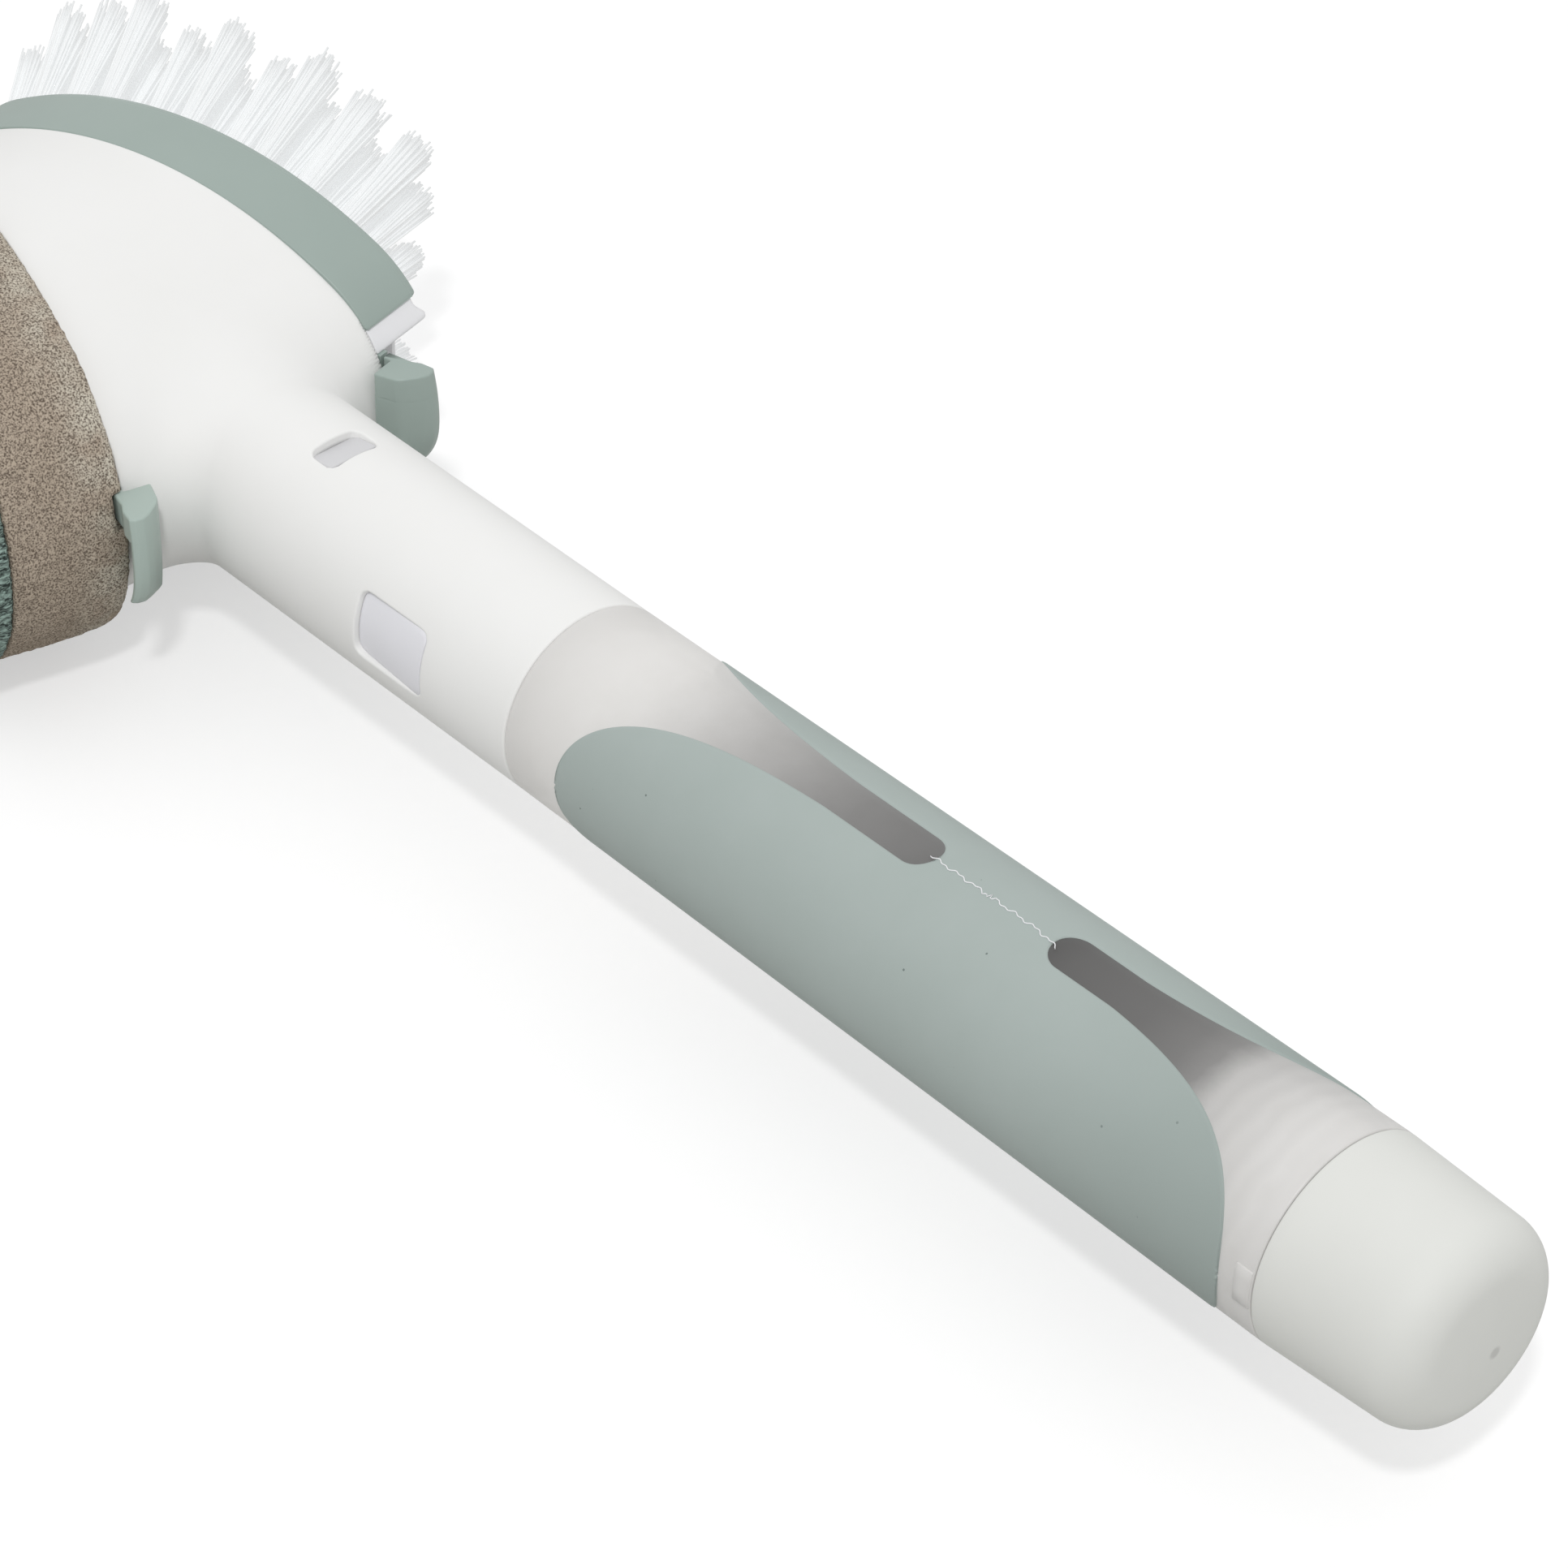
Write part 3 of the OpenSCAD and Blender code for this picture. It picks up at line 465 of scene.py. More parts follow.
# Windows: middle along the neck, degrees round it from straight up, length, width and corner. Lip: the neck's end.
# Corner and neck degrees: where the rays crowd. Room and room degrees: how far round a window its squares are left out.
hub = dict(fillet=6.0, edge=0.2, ledge=8.5, recess=2.1, neckFrom=-96.0, boreFrom=-50.0, cornerDegrees=(16, 60),
           neckDegrees=45, windowEdge=0.32, room=1.6, roomDegrees=6,
           windows=((-40.8, 0, 5.0, 8.4, 1.3), (-40.8, 180, 5.0, 8.4, 1.3),
                    (-15.7, -80, 13.4, 10.0, 1.5), (-15.7, 100, 13.4, 10.0, 1.5)),
           lip=((7.7, 14.0), (7.85, 13.95), (7.96, 13.83), (8.0, 13.65), (8.0, 12.4)))
hubOval = (head["a"] * tiltCos, head["b"], head["endR"] * tiltCos)


def unionRound(p, q, radius):
    # union of two distances with a round of the given radius between them
    return np.maximum(radius, np.minimum(p, q)) - np.hypot(np.maximum(radius - p, 0), np.maximum(radius - q, 0))


def cutRound(p, q, radius):
    # intersection of two distances with its edge rounded
    return np.minimum(-radius, np.maximum(p, q)) + np.hypot(np.maximum(radius + p, 0), np.maximum(radius + q, 0))


def hubDistance(x, y, z):
    # neck and oval wall joined by a round, cut by the two oval faces, with a seat for each deck
    t = x - head["centreX"]
    neck = np.maximum(np.hypot(y, z) - brush["neckR"], hub["neckFrom"] - x)
    body = unionRound(neck, ovalDistance(t, z, hubOval), hub["fillet"])
    for side in (1, -1):
        rise = side * y - head["centreY"]
        depth, along = rise * tiltCos - t * tiltSin, t * tiltCos + rise * tiltSin
        body = cutRound(body, depth + 0.04, hub["edge"])
        seat = np.maximum(-(depth + hub["recess"]), ovalDistance(along, z, headOval) + hub["ledge"])
        body = np.maximum(body, -seat)
    return body


def hubRows():
    # places along x from the neck's end to the far tip, closest together where the wall turns at the near tip
    tip, far = head["centreX"] + hubOval[0], head["centreX"] - hubOval[0]
    return np.concatenate([
        np.arange(7.4, -52.0, -1.4), np.arange(-52.0, tip + 0.6, -0.4), np.arange(tip + 0.6, tip - 1.2, -0.09),
        np.arange(tip - 1.2, tip - 7, -0.25), np.arange(tip - 7, far + 9, -0.8),
        far + 9 - 8.98 * np.sin(np.linspace(0, np.pi / 2, 34))])


def hubAngles(x, count=30):
    # directions round the axis in each row: they crowd at the corner between wall and face, which moves along the
    # head, and on the neck they crowd at 45 degrees
    t = np.clip(np.abs(x - head["centreX"]), 0, hubOval[0] - 1e-4)
    wide = halving(lambda v: ovalDistance(t, v, hubOval) < 0, np.full_like(t, 30.0), 40)
    tall = head["centreY"] + math.tan(head["tilt"]) * (x - head["centreX"])
    corner = np.clip(np.arctan2(tall, wide), *np.radians(hub["cornerDegrees"]))
    corner = (corner + (math.radians(hub["neckDegrees"]) - corner) * ease(np.clip((x + 60) / 10, 0, 1)))[:, None]
    share = np.arange(count) / count
    quarter = np.concatenate([corner * (1 - (1 - share) ** 1.5), corner + (np.pi / 2 - corner) * share ** 1.5], 1)
    half = np.concatenate([quarter, np.full((len(x), 1), np.pi / 2), np.pi - quarter[:, :0:-1]], 1)
    return np.concatenate([half, half + np.pi], 1)


def turnFrom(middle, angle):
    # the turn from one angle to another, from minus half a turn to half a turn
    return (angle - middle + np.pi) % (2 * np.pi) - np.pi


def cutWindow(x, theta, skip, middleX, degrees, length, width, corner):
    # leaves out the squares round a window, and fills them with rings that shrink from those squares to the window's
    # rounded outline and then go down through the wall
    middleT, neckR, cols = math.radians(degrees), brush["neckR"], theta.shape[1]
    i0 = int(np.argmin(np.abs(x - (middleX + length / 2 + hub["room"]))))
    i1 = int(np.argmin(np.abs(x - (middleX - length / 2 - hub["room"]))))
    away = turnFrom(middleT, theta[i0])
    inHole = np.where(np.abs(away) < width / 2 / neckR + math.radians(hub["roomDegrees"]))[0]
    order = inHole[np.argsort(away[inHole])]
    js = np.concatenate([[(order[0] - 1) % cols], order, [(order[-1] + 1) % cols]])
    skip[i0:i1, js[:-1]] = True
    rows = np.arange(i0, i1 + 1)
    li = np.concatenate([np.full(len(js), i0), rows[1:], np.full(len(js) - 1, i1), rows[::-1][1:]])
    lj = np.concatenate([js, np.full(len(rows) - 1, js[-1]), js[::-1][1:], np.full(len(rows) - 1, js[0])])
    dx, ds = x[li] - middleX, turnFrom(middleT, theta[li, lj]) * neckR

    def share(offset):
        # how far along each ray the window's outline, grown by offset, is met
        def inside(k):
            qx, qs = np.abs(dx * k) - (length / 2 - corner), np.abs(ds * k) - (width / 2 - corner)
            return np.hypot(np.maximum(qx, 0), np.maximum(qs, 0)) + np.minimum(np.maximum(qx, qs), 0) - corner < offset
        return halving(inside, np.ones(len(dx)), 30)

    edge, wall = hub["windowEdge"], neckR - brush["boreR"]
    levels = [(1.0, 0.0), (share(edge + 0.5), 0.0), (share(edge), 0.0)]
    levels += [(share(edge * (1 - math.sin(a))), edge * (1 - math.cos(a))) for a in np.linspace(0.3, np.pi / 2, 5)]
    levels += [(share(0.0), 0.9), (share(0.0), wall), (1.0, wall)]
    return np.array([aroundAxis(middleX + dx * k, neckR - depth, middleT + ds * k / neckR) for k, depth in levels])


def makeHub():
    # the outer wall is met by rays square to the axis, and the bore is a plain tube inside it
    x = hubRows()
    theta = hubAngles(x)
    sinT, cosT = np.sin(theta), np.cos(theta)
    radius = halving(lambda r: hubDistance(x[:, None], r * sinT, r * cosT) < 0, np.full_like(theta, 45.0), 32)
    boreRows = int((x > hub["boreFrom"]).sum())
    outer = aroundAxis(x[:, None], radius, theta)
    inner = aroundAxis(x[:boreRows, None], brush["boreR"], theta[:boreRows])
    skip = np.zeros((len(x) - 1, theta.shape[1]), bool)
    windows = [cutWindow(x, theta, skip, *window) for window in hub["windows"]]
    lip = np.array([outer[0]] + [aroundAxis(px, pr, theta[0]) for px, pr in hub["lip"]] + [inner[0]])
    end, plug = fan(outer[-1], (x[-1] - 0.02, 0.0, 0.0)), fan(inner[-1], (x[boreRows - 1], 0.0, 0.0))
    grids = [(ring(outer), skip), ring(lip), ring(end), ring(plug), (ring(inner), skip[:boreRows - 1])]
    piece = makePiece("hub", grids + windows, whitePlastic)
    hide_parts("hub_body")
    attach(piece, "handle")


makeHub()
print("hub made")

tube = dict(startR=14.0, endR=14.86, wall=2.0, spigotR=12.2, spigotWall=1.8, spigotX=-48.0, nippleX=-53.0, nippleR=3.2,
            holeR=2.0, radii=(0.3, 0.3, 0.6, 0, 0.45, 0.3, 0.2, 1, 1, 1, 1, 0.2))


def tubeR(x):
    # outside radius of the reservoir, which grows evenly from the neck to the cap
    return tube["startR"] + (tube["endR"] - tube["startR"]) * (x - brush["jointX"]) / (brush["capX"] - brush["jointX"])


def makeReservoir():
    # nipple, spigot inside the neck, wall, mouth and the inside back to the nipple's hole, as one profile
    jointX, mouthX, nippleX, spigotX = brush["jointX"] + 0.05, brush["capX"] - 0.04, tube["nippleX"], tube["spigotX"]
    spigotIn, mouthIn = tube["spigotR"] - tube["spigotWall"], tube["endR"] - tube["wall"]
    outline = roundedPath([
        (nippleX, tube["holeR"]), (nippleX, tube["nippleR"]), (spigotX, tube["nippleR"]), (spigotX, tube["spigotR"]),
        (jointX, tube["spigotR"]), (jointX, tube["startR"]), (mouthX, tube["endR"]), (mouthX, mouthIn),
        (brush["capX"] - 22, mouthIn), (brush["jointX"] + 3, tube["startR"] - tube["wall"]),
        (brush["jointX"] + 1, spigotIn), (spigotX + tube["spigotWall"], spigotIn),
        (spigotX + tube["spigotWall"], tube["holeR"]), (nippleX, tube["holeR"])], tube["radii"], 4)
    fine = []
    for a, b in zip(outline[:-1], outline[1:]):
        n = max(1, int(np.hypot(*(b - a)) / 4))
        fine += [a + (b - a) * k / n for k in range(n)]
    piece = makePiece("reservoir", [lathe(fine + [outline[-1]])], frosted)
    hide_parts("reservoir")
    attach(piece, "handle")


catch = dict(x=-41.0, section=[(-2.4, 11.6), (-2.4, 12.5), (2.1, 13.3), (2.1, 11.6)], radii=(0.25, 0.3),
             across=(-3.9, -3.85, -3.6, 0, 3.6, 3.85, 3.9), drop=(0.35, 0.1, 0, 0, 0, 0.1, 0.35))


def makeCatches():
    # snap catches in the two small windows: a ramp's section carried across, lower at both sides
    section = roundedPath(catch["section"], catch["radii"], 4)
    across, drop = np.array(catch["across"])[:, None], np.array(catch["drop"])[:, None]
    for sign, label in ((1, "upper"), (-1, "lower")):
        points = np.broadcast_arrays(catch["x"] + section[:, 0], across, sign * (section[:, 1] - drop))
        piece = makePiece("catch_" + label, withEnds(np.stack(points, -1)), catchPlastic)
        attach(piece, "handle")


latch = dict(x=(-22.34, -22.32, -22.1, -21.5, -20.7, -18, -15, -12, -10.7, -9.8, -9.3, -9.08, -9.06), half=4.95,
             cornerX=(-22.34, -22.1, -21.5, -20.7, -10.7, -9.8, -9.3, -9.06),
             corner=(1.3, 0.7, 0.22, 0, 0, 0.22, 0.7, 1.3),
             lowR=13.1, highR=13.93, footR=11.9, meanR=13.0, soft=0.2)


def makeLatches():
    # ramps that fill the two wide windows: low at the hub's side, nearly flush with the neck at the handle's side
    x = np.array(latch["x"])
    half = latch["half"] - np.interp(x, latch["cornerX"], latch["corner"])
    top = latch["lowR"] + (latch["highR"] - latch["lowR"]) * (x - x[0]) / (x[-1] - x[0])
    top[[0, -1]] -= latch["soft"]
    across = np.concatenate([[-1, -1], np.linspace(-0.97, 0.97, 13), [1, 1]])
    sink = np.concatenate([[np.inf, 0.2, 0.04], np.zeros(11), [0.04, 0.2, np.inf]])
    radius = np.maximum(top[:, None] - sink, latch["footR"])
    for degrees, label in ((-80, "near"), (100, "far")):
        theta = math.radians(degrees) + half[:, None] * across / latch["meanR"]
        piece = makePiece("latch_" + label, withEnds(aroundAxis(x[:, None], radius, theta)), latchPlastic)
        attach(piece, "handle")


stop = dict(x=(138.3, 138.32, 138.5, 139.5, 140.8, 140.98, 141.0), proud=0.22, footR=14.4, soft=0.2,
            degrees=(-97.0, -96.9, -96.2, -90, -82, -76.3, -75.6, -75.5))


def makeStop():
    # a small square stop for the cap, raised a little from the reservoir's wall
    x, soft = np.array(stop["x"]), stop["soft"]
    alongDown, acrossDown = [np.inf, soft, 0, 0, 0, soft, np.inf], [np.inf, soft, 0, 0, 0, 0, soft, np.inf]
    down = np.maximum(np.array(alongDown)[:, None], np.array(acrossDown))
    radius = np.maximum(tubeR(x)[:, None] + stop["proud"] - down, stop["footR"])
    piece = makePiece("cap_stop", [aroundAxis(x[:, None], radius, np.radians(stop["degrees"]))], frosted, fill=True)
    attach(piece, "handle")


makeReservoir()
makeCatches()
makeLatches()
makeStop()
print("reservoir made")

grip = dict(start=18.2, end=136.0, slot=3.0, frontLen=38.0, frontReach=12.5, rearLen=30.0, rearReach=10.8,
            frontEnd=73.0, rearStart=93.5, proud=0.2, edge=0.6, thick=0.9)


def bareHalf(x):
    # half width of the bare strip: as wide as the tube at the lobes' tips, from where it falls off exponentially to a
    # slot with a round end
    slot, wide = grip["slot"], np.zeros_like(x)
    for tip, sign, reach, length, slotEnd in (
            (grip["start"], 1, grip["frontReach"], grip["frontLen"], grip["frontEnd"]),
            (grip["end"], -1, grip["rearReach"], grip["rearLen"], grip["rearStart"])):
        far, left = np.maximum((x - tip) * sign, 0), (slotEnd - x) * sign
        flare = slot + (tubeR(x) - slot) * np.exp(-(far / reach) ** 0.87) * (1 - (far / length) ** 2)
        roundEnd = np.sqrt(np.clip(slot ** 2 - np.maximum(slot - left, 0) ** 2, 0, None))
        width = np.where(left < slot, roundEnd, np.where(far < length, flare, slot))
        here = (left > 0) & (np.abs(x - tip) <= np.abs(slotEnd - tip))
        wide = np.where(here, np.maximum(wide, width), wide)
    return wide


def crowded(a, b, count, at):
    # places from a to b, closer together at the start, the end or both
    s = np.linspace(0, 1, count)
    share = {"start": 1 - np.cos(s * np.pi / 2), "end": np.sin(s * np.pi / 2), "both": (1 - np.cos(s * np.pi)) / 2}
    return a + (b - a) * share[at]


def gripRows():
    # rows crowd together at the lobes' tips and at the slots' round ends
    start, front, rear, end = grip["start"], grip["frontEnd"], grip["rearStart"], grip["end"]
    return np.concatenate([
        crowded(start, start + 6, 26, "start")[:-1], np.arange(start + 6, front - 3, 0.9),
        crowded(front - 3, front, 12, "end")[:-1], crowded(front, rear, 20, "both")[:-1],
        crowded(rear, rear + 3, 12, "start")[:-1], np.arange(rear + 3, end - 6, 0.9), crowded(end - 6, end, 26, "end")])


def makeGrip():
    # each lobe is a skin over the tube between two bare strips, rounded down along its free edges
    x = gripRows()
    strip = np.arcsin(np.clip(bareHalf(x) / tubeR(x), 0, 1))
    bare = strip > 1e-6
    across = np.linspace(-1, 1, 81)
    across = np.sign(across) * (1 - (1 - np.abs(across)) ** 1.5)
    theta = np.pi / 2 + across * (np.pi / 2 - strip[:, None])
    r0 = tubeR(x)[:, None]
    # distance of each point to the lobe's outline in the unrolled plane, against sixty of its points at a time
    line = np.concatenate([np.stack([x, theta[:, j] * r0[:, 0]], -1)[bare] for j in (0, -1)])
    gap = np.full(theta.shape, 1e9)
    for k in range(0, len(line), 60):
        part = line[k:k + 60]
        away = np.hypot(x[:, None, None] - part[:, 0], (theta * r0)[..., None] - part[:, 1])
        gap = np.minimum(gap, away.min(-1))
    near = np.clip(1 - gap / grip["edge"], 0, 1)
    height = grip["proud"] - grip["edge"] * (1 - np.sqrt(1 - (0.995 * near) ** 2)) * 0.75
    patches = []
    for sign in (1, -1):
        outer = aroundAxis(x[:, None], r0 + height, sign * theta)
        inner = aroundAxis(x[:, None], r0 - grip["thick"], sign * theta)
        walls = [(np.stack([outer[:, j], inner[:, j]], 1), ~(bare[:-1] | bare[1:])[:, None]) for j in (0, -1)]
        patches += [outer, inner] + walls
    piece = makePiece("grip", patches, silicone)
    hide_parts("grip_sleeve")
    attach(piece, "handle")


flash = dict(start=72.2, end=94.6, count=90, radius=0.075, sides=6, proud=0.05, bendX=89.0, bendOver=5.5, curlX=82.5,
             curlOver=0.8, helper=(0.1, 0.3, 0.95))


def makeFlash():
    # a hair of moulding flash that runs along the bridge between the two slots, with waves and a small curl in it
    x = np.linspace(flash["start"], flash["end"], flash["count"])
    theta = np.radians(-1.2 - 2.6 * np.clip((x - flash["bendX"]) / flash["bendOver"], 0, 1) ** 2)
    theta = theta + 0.012 * np.sin(x * 1.9) + 0.01 * np.sin(x * 4.3)
    theta = theta + 0.03 * np.exp(-((x - flash["curlX"]) / flash["curlOver"]) ** 2) * np.sin(x * 9)
    path = aroundAxis(x, tubeR(x) + grip["proud"] + flash["proud"], theta)
    radii = np.full(len(x), flash["radius"])
    radii[[0, -1]] *= 0.3
    grid = threadRings(path, radii, np.linspace(0, 2 * np.pi, flash["sides"] + 1), flash["helper"])
    thread = makePiece("moulding_flash", [grid] + [fan(grid[k], path[k]) for k in (0, -1)], blockPlastic)
    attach(thread, "handle")


makeGrip()
makeFlash()
print("grip made")

cap = dict(length=23.2, taper=0.7, corner=6.0, dome=1.1, plugR=12.26, plugLen=18.6, wall=1.8, pitch=3.0, ridge=0.45,
           rounds=144, lip=((0.06, 14.5), (0.09, 14.7), (0.2, 14.81), (0.35, 14.85)))


def makeCap():
    # outside: a lip beside the reservoir, a slightly tapered wall, a corner arc and a flat dome that meets it smoothly
    start, end, plugEnd = brush["capX"], brush["capX"] + cap["length"], brush["capX"] - cap["plugLen"]
    edgeR, corner = tube["endR"] - cap["taper"], cap["corner"]
    domeR = (edgeR ** 2 + cap["dome"] ** 2) / (2 * cap["dome"])
    domeX = end - domeR
    cornerX = domeX + math.sqrt((domeR - corner) ** 2 - (edgeR - corner) ** 2)
    turn = math.atan2(edgeR - corner, cornerX - domeX)
    outline = [(start + 0.06, cap["plugR"])] + [(start + x, radius) for x, radius in cap["lip"]]
    outline += [(start + (cornerX - start) * k, tube["endR"] - cap["taper"] * k) for k in np.linspace(0.1, 1, 8)[:-1]]
    outline += [(cornerX + corner * math.cos(a), edgeR - corner + corner * math.sin(a))
                for a in np.linspace(np.pi / 2, turn, 16)]
    outline += [(domeX + domeR * math.cos(a), max(domeR * math.sin(a), 0)) for a in np.linspace(turn, 0, 14)[1:]]
    # threaded plug: a ridge climbs round it once each pitch, and fades out at both ends
    x = np.arange(start + 0.06, plugEnd - 1e-6, -0.25)
    angle = np.linspace(0, 2 * np.pi, cap["rounds"] + 1)
    phase = (x[:, None] - start) / cap["pitch"] - angle / (2 * np.pi)
    wave = np.clip(1 - np.abs((phase % 1) - 0.5) * 4.2, 0, 1)
    ends = np.clip((start - 2.0 - x) / 1.2, 0, 1) * np.clip((x - (plugEnd + 1.5)) / 1.2, 0, 1)
    thread = aroundAxis(x[:, None], cap["plugR"] + cap["ridge"] * ease(wave) * ends[:, None], angle)
    innerR = cap["plugR"] - cap["wall"]
    inside = roundedPath([(x[-1], cap["plugR"]), (x[-1], innerR), (end - 7, innerR), (end - 4, 6.5), (end - 4, 0)],
                         (0.2, 2, 1), 4)
    piece = makePiece("cap", [lathe(outline, cap["rounds"]), thread, lathe(inside, cap["rounds"])], capPlastic)
    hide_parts("end_cap")
    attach(piece, "cap")


makeCap()
print("cap made")


def puck(side, levels, step=1.0, size=headOval, cut=None, arch=None):
    # rings of the oval outline at (inset, height) levels, closed to the middle at both ends; cut pulls the outline
    # back to one u between two places across, and arch lifts the underside over a strip of v beyond one u
    b, e = size[1:]
    angles = ovalAngles(size, step)
    rows = []
    for inset, height in levels:
        u, v = ovalPoints(angles, min(inset, e - 1), size)
        if inset > e - 1:
            u, v = (value * max(0.0, (b - inset) / (b - e + 1)) for value in (u, v))
        if cut:
            u = np.where(np.abs(v) < cut[1], np.minimum(u, cut[0]), u)
        n = np.full_like(u, height)
        if arch:
            n = np.where((u > arch[0]) & (v > arch[1]) & (v < arch[2]), np.maximum(n, arch[3]), n)
        rows.append(onFace(side, u, v, n))
    return ring(np.array(rows))


rim = dict(height=11.44, wall=1.7, gap=11.0, low=-0.12, proud=0.05, foot=0.9, radii=(0.25, 2.0, 0.5, 0.5, 0.1),
           lead=(0.0, 0.006, 0.015, 0.03), pull=(0.45, 0.2, 0.06, 0))


def makeBrushRim():
    # the rim's section carried along the oval from one side of the gap to the other; pull draws the section in
    # towards its own middle at both ends, which rounds them
    cut = math.asin(rim["gap"] / head["endR"])
    angles = ovalAngles(headOval, 0.8) % (2 * np.pi)
    angles = np.sort(angles[(angles > cut + 0.05) & (angles < 2 * np.pi - cut - 0.05)])
    lead = cut + np.array(rim["lead"])
    angles = np.concatenate([lead, angles, 2 * np.pi - lead[::-1]])
    pull = np.zeros(len(angles))
    pull[:4], pull[-4:] = rim["pull"], rim["pull"][::-1]
    low, high, foot = rim["low"], rim["height"], rim["foot"]
    outer, inner = -rim["proud"], rim["wall"] + rim["proud"]
    section = roundedPath([(foot, low), (outer, low), (outer, high - 1.6), (outer + 0.5, high), (inner, high),
                           (inner, 1.2), (foot, low)], rim["radii"], 5)
    inward = section.mean(0) - section
    inward /= np.linalg.norm(inward, axis=1, keepdims=True)
    points = section + inward * pull[:, None, None]
    u, v = ovalPoints(angles[:, None], points[..., 0], headOval)
    piece = makePiece("brush_rim", withEnds(onFace(1, u, v, points[..., 1])), sagePlastic)
    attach(piece, "brush_head")


makeBrushRim()


def roundedOutline(u0, u1, half, radius, steps=8):
    # rectangle in u and v with rounded corners: points and outward normals
    turn = np.radians(np.arange(0, 360, 90)[:, None] + np.linspace(0, 90, steps + 1))
    normals = np.stack([np.cos(turn), np.sin(turn)], -1)
    corners = np.array([(u1 - radius, half - radius), (u0 + radius, half - radius),
                        (u0 + radius, radius - half), (u1 - radius, radius - half)])
    return (corners[:, None] + radius * normals).reshape(-1, 2), normals.reshape(-1, 2)


def prism(points, normals, levels):
    # an outline lifted from the brush's face through (inset, height) levels, and closed to its middle at both ends
    middle = points.mean(0) + 0 * points
    lines = [(middle, levels[0][1])] + [(points - normals * inset, height) for inset, height in levels]
    lines.append((middle, levels[-1][1]))
    return ring(np.array([onFace(1, line[:, 0], line[:, 1], height) for line, height in lines]))


block = dict(
    shell=[(25.2, 1.76), (12, 1.76), (2.0, 1.76), (1.9, 2.0), (1.9, 10.7), (2.05, 10.95), (2.3, 11.0), (6, 11.0),
           (14, 11.0), (25.2, 11.0)], cut=(34.0, 7.5),
    cheekV=(7.4, 7.45, 7.6, 7.9, 8.4, 9.0, 9.6, 10.2, 10.6, 10.8, 10.9), cheekLow=0.12, cheekIn=0.35,
    topV=(7.4, 8.0, 9.0, 9.8, 10.9), top=(12.0, 11.8, 10.8, 10.4, 10.6), cheekR=(0.15, 1.1, 0.4, 0.2, 0.1),
    pullV=(7.4, 7.45, 7.6, 7.9, 10.6, 10.8, 10.9), pull=(0.35, 0.2, 0.08, 0.0, 0.0, 0.08, 0.2),
    step=(25.5, 34.0, 10.9, 2.2),
    stepLevels=[(0.2, 1.8), (0.0, 2.0), (0.0, 11.4), (0.12, 11.8), (0.35, 12.03), (0.7, 12.1)])


def cheekSections(v, a, e):
    # one section at each v: its outer side follows the oval's end, its top falls away from the tab, and both ends
    # draw in a little
    sections = []
    top, pull = np.interp(v, block["topV"], block["top"]), np.interp(v, block["pullV"], block["pull"])
    for place, high, p in zip(v, top, pull):
        outside = a - e + math.sqrt((e - block["cheekIn"]) ** 2 - place * place) - p
        low = block["cheekLow"] + p
        sections.append(roundedPath([(36.0, low), (outside, low), (outside, high - p), (31.5, high - p),
                                     (31.5, 1.8 + p), (36.0, 1.8 + p), (36.0, low)], block["cheekR"], 5))
    return np.array(sections)


def makeBlock():
    # the block's top lies inside the rim; at the handle end its wall comes out flush with the rim on both sides of
    # the tab and rises beside it, and between them it stands back to leave the tab room
    piece = makePiece("bristle_block_shell", [puck(1, block["shell"], cut=block["cut"])], blockPlastic)
    parts = [piece]
    v = np.array(block["cheekV"])
    sections = cheekSections(v, head["a"], head["endR"])
    for sign, label in ((1, "upper"), (-1, "lower")):
        grid = onFace(1, sections[..., 0], sign * v[:, None], sections[..., 1])
        parts.append(makePiece("bristle_block_cheek_" + label, withEnds(grid), blockPlastic))
    step = prism(*roundedOutline(*block["step"]), block["stepLevels"])
    parts.append(makePiece("bristle_block_step", [step], blockPlastic))
    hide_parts("bristle_block")
    for part in parts:
        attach(part, "brush_head")


makeBlock()

tuft = dict(front=23.0, back=-37.5, row=6.6, pitch=6.1, halfWidth=20.6, nozzleU=8, nozzleR=4.6, bed=11.0, length=23.0,
            rootR=1.6, tipR=2.8, tipLean=0.45, sideLean=0.36, uneven=0.35, threads=98, threadR=0.175, points=5, sides=4)


def tuftPlaces():
    # rows of tufts over the block up to the rim, every second one shifted by half a pitch, clear of the nozzle
    i = np.arange(int((tuft["front"] - tuft["back"]) / tuft["row"]) + 1)[:, None]
    v = np.arange(-4, 5) * tuft["pitch"] + (i % 2) * tuft["pitch"] / 2
    u = np.broadcast_to(tuft["front"] - i * tuft["row"] - 0.5, v.shape)
    room = rim["wall"] + tuft["rootR"] + 0.6
    free = (ovalDistance(u, v, headOval) <= -room) & (np.hypot(u - tuft["nozzleU"], v) > tuft["nozzleR"])
    return u[free], -v[free]


